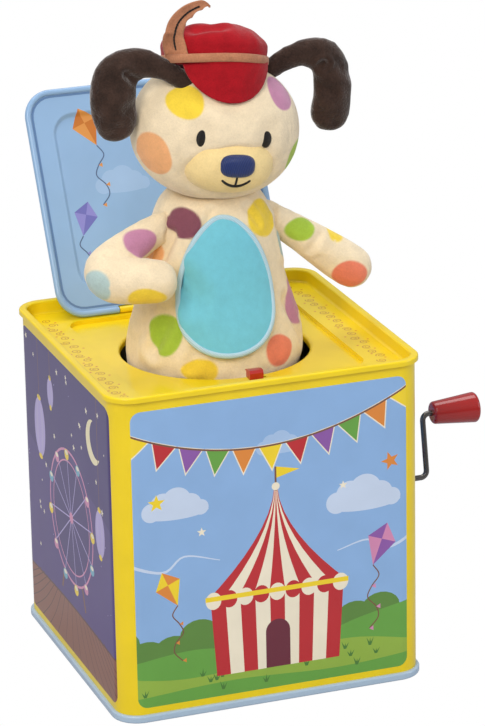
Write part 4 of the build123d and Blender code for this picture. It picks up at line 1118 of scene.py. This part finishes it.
for eye, name in zip(eye_spots, ("right_eye", "left_eye")):
    grid = ball_grid((2.4, 1.3, 3.7), 2.0, 24, 32) + eye + (0, 0.7, 0)
    dress(grid_piece(name, on_head(grid), black_thread), "figure", ["eyes"])
t = np.linspace(-1, 1, 48)
for name, line, radius in (("stitched_smile", muzzle_front(6.6 * t, -7.6 + 2.8 * t**2), 0.75 - 0.25 * t**2),
                           ("stitched_lip", muzzle_front(0 * t, -5.4 - 2 * t), 0.5)):
    dress(grid_piece(name, tube_grid(line, radius, 12, 0.7), black_thread), "figure")

dent(right_ear, ((-35, -15, 267), (-42, -15, 273.5), 1.7, 2.2),
     ((-36.5, -14, 259), (-42, -16, 258), 2.6, 1.0), ((-55, -12, 256), (-52, -14, 262), 2.4, 0.8),
     ((-46, -16, 250), (-50, -15, 247), 2.6, 0.7))
dent(left_ear, ((41.5, -14, 264), (48, -14, 268.5), 1.6, 2.4), ((44.5, -14, 259), (50, -16, 256), 2.4, 0.9),
     ((60, -12, 262), (56, -14, 266), 2.4, 0.8), ((46, -15, 246), (51, -16, 243), 2.4, 0.7))
dress(right_ear, "figure", ["right_ear"], sideways_flat)
dress(left_ear, "figure", ["left_ear"], sideways_flat)
print("head, face and ears done")

# %% [markdown]
# ## Felt hat
#
# The hat is wool felt: a domed crown with a pinch at its front, a narrow tan band glued round it, a visor
# sewn under the band, and a cut felt feather tucked behind the band with a stitched quill.

# %% Hat
HAT_RADIUS, BAND_HALF, HAT_TILT, HAT_MIDDLE = 22.5, 1.8, -16, (-4.0, -1.8, 30.3)


def on_hat(points):
    """Points from the middle of the hat's band, placed with the head."""
    leaning = np.asarray(points, float) @ turning(math.radians(HAT_TILT), X)
    return on_head(leaning + HAT_MIDDLE)


def turned(radius, height, a):
    """Grid of points at the radii, heights and angles."""
    return np.stack([radius * np.cos(a), radius * np.sin(a), height + 0 * a], -1)


profile = smooth_path([(20.9, -9.2), (22.1, -9.6), (22.7, -8.4), (22.5, -4), (22.4, 0), (22.8, 4),
                       (22.9, 6.6), (21.4, 9.4), (17.6, 12.0), (11.4, 14.5), (5.2, 15.8), (0.4, 16.1)], 90)
crown_grid = turned(profile[:, :1], profile[:, 1:], around(120))
over_visor = crown_grid[..., Y] < 4
crown_grid[..., Z] = np.where(over_visor, np.maximum(crown_grid[..., Z], -2.5), crown_grid[..., Z])
crown = grid_piece("hat_crown_felt", on_hat(crown_grid), red_felt)
dent(crown, (on_hat((-13, -13, 13)), on_hat((-3, -15, 13.5)), 3.2, 1.9),
     (on_hat((-4, -6, 16)), on_hat((6, 4, 16)), 4.5, 1.1),
     (on_hat((15, -14, 8)), on_hat((20, -4, 9)), 3.0, 0.8))
dress(crown, "figure", ["hat_crown"])

FEATHER_AT = math.radians(208)
a = around(160)[:, None]
half_section = [(-0.3, -1), (0.25, -1.04), (0.75, -0.9), (0.95, 0), (0.75, 0.9), (0.25, 1.04), (-0.3, 1)]
section = np.array(half_section)
over_feather = 1.4 * np.exp(-((a - FEATHER_AT) / 0.46) ** 4)
band_radius = HAT_RADIUS + 0.25 + section[:, 0] + 0.15 * np.cos(5 * a) + over_feather
band_grid = turned(band_radius, BAND_HALF * section[:, 1] + 0.2 * np.sin(3 * a), a)
band = grid_piece("hat_band_felt", on_hat(band_grid), tan_felt, loop=True)
dress(band, "figure", ["hat_band"])

# %% Visor
VISOR_HALF, VISOR_DROP, VISOR_THICK, UNDER_BAND = 19.4, 16.5, 1.6, 1.6
VISOR_TILT, VISOR_MIDDLE = -9, (-3.2, -1.8, 30.3)
u = np.sin(np.linspace(-math.pi / 2, math.pi / 2, 90) * 0.985)[:, None]
down = np.concatenate([np.linspace(0, 1, 24), [1.01], np.linspace(1, 0, 24)])
inset = np.concatenate([np.full(24, 0.0), [0.5], np.full(24, 1.0)])
x = VISOR_HALF * u + 0 * down
z = UNDER_BAND - down * (VISOR_DROP + UNDER_BAND) * np.sqrt(np.clip(1 - u**2, 0, 1))
tuck = 0.7 * np.clip((z + 3) / 4, 0, 1)
y = -np.sqrt((HAT_RADIUS + 0.9 - tuck) ** 2 - x**2)
visor_points = np.stack([x, y, z], -1) @ turning(math.radians(VISOR_TILT), X) + VISOR_MIDDLE
share = 1 - (visor_points[..., X] / HEAD_HALF[X]) ** 2 - (visor_points[..., Z] / HEAD_HALF[Z]) ** 2
forehead = -HEAD_HALF[Y] * np.sqrt(np.clip(share, 0, 1)) - 0.4 - VISOR_THICK
visor_points[..., Y] = np.minimum(visor_points[..., Y], forehead) + inset * VISOR_THICK
visor = grid_piece("hat_visor_felt", on_head(visor_points), red_felt)
dress(visor, "figure", ["hat_visor"])

# %% Feather
FELT, ROUND_HAT = 1.1, 23.0
quill = smooth_path([(-19.8, 278.0), (-20.8, 283.5), (-21.0, 289.0), (-18.8, 294.2), (-14.0, 298.2),
                     (-8.0, 300.4), (-4.6, 299.8)], 60)
t = np.linspace(0, 1, 60)[:, None]
steps = [0, 0.2, 0.45, 0.7, 0.9, 1]
outer = np.interp(t, steps, [3.6, 4.4, 4.2, 3.4, 2.4, 0.3])
scallops = 0.7 * np.abs(np.sin(18 * t)) * (t > 0.55) * (t < 0.97)
inner = np.interp(t, steps, [3.4, 3.9, 3.6, 2.9, 1.6, 0.3]) - scallops
blade = np.array([-1, -0.75, -0.4, 0, 0.4, 0.75, 1])
ahead = unit(np.gradient(quill, axis=0))
side = np.stack([-ahead[:, 1], ahead[:, 0]], 1)
flat_points = quill[:, None] + side[:, None] * (np.where(blade < 0, inner, outer) * blade)[..., None]
free = -20.6 + 5.5 * np.sin(t * 1.8) - 2.0 * t**2 - 0.6 * blade**2
round_hat = -7.8 - np.sqrt(np.maximum(ROUND_HAT**2 - (flat_points[..., 0] + 0.3) ** 2, 30))
round_hat += 0.28 * (flat_points[..., 1] - 279)
tucked = np.clip(1 - t / 0.35, 0, 1) ** 0.6
depth = free * (1 - tucked) + round_hat * tucked
front_face = np.stack([flat_points[..., 0], depth, flat_points[..., 1]], -1)
feather_grid = np.concatenate([front_face, front_face[:, ::-1] + (0, FELT, 0)], axis=1)
feather = grid_piece("felt_feather", feather_grid, tan_felt)
dress(feather, "figure", ["feather"])
stitched = front_face[8:52, 3] - (0, 0.1, 0)
stitches = 0.42 + 0.1 * np.sin(np.arange(len(stitched)) * 2.6)
quill_thread = grid_piece("feather_quill", tube_grid(stitched, stitches, 10, 0.8), black_thread)
dress(quill_thread, "figure")
print("hat made")
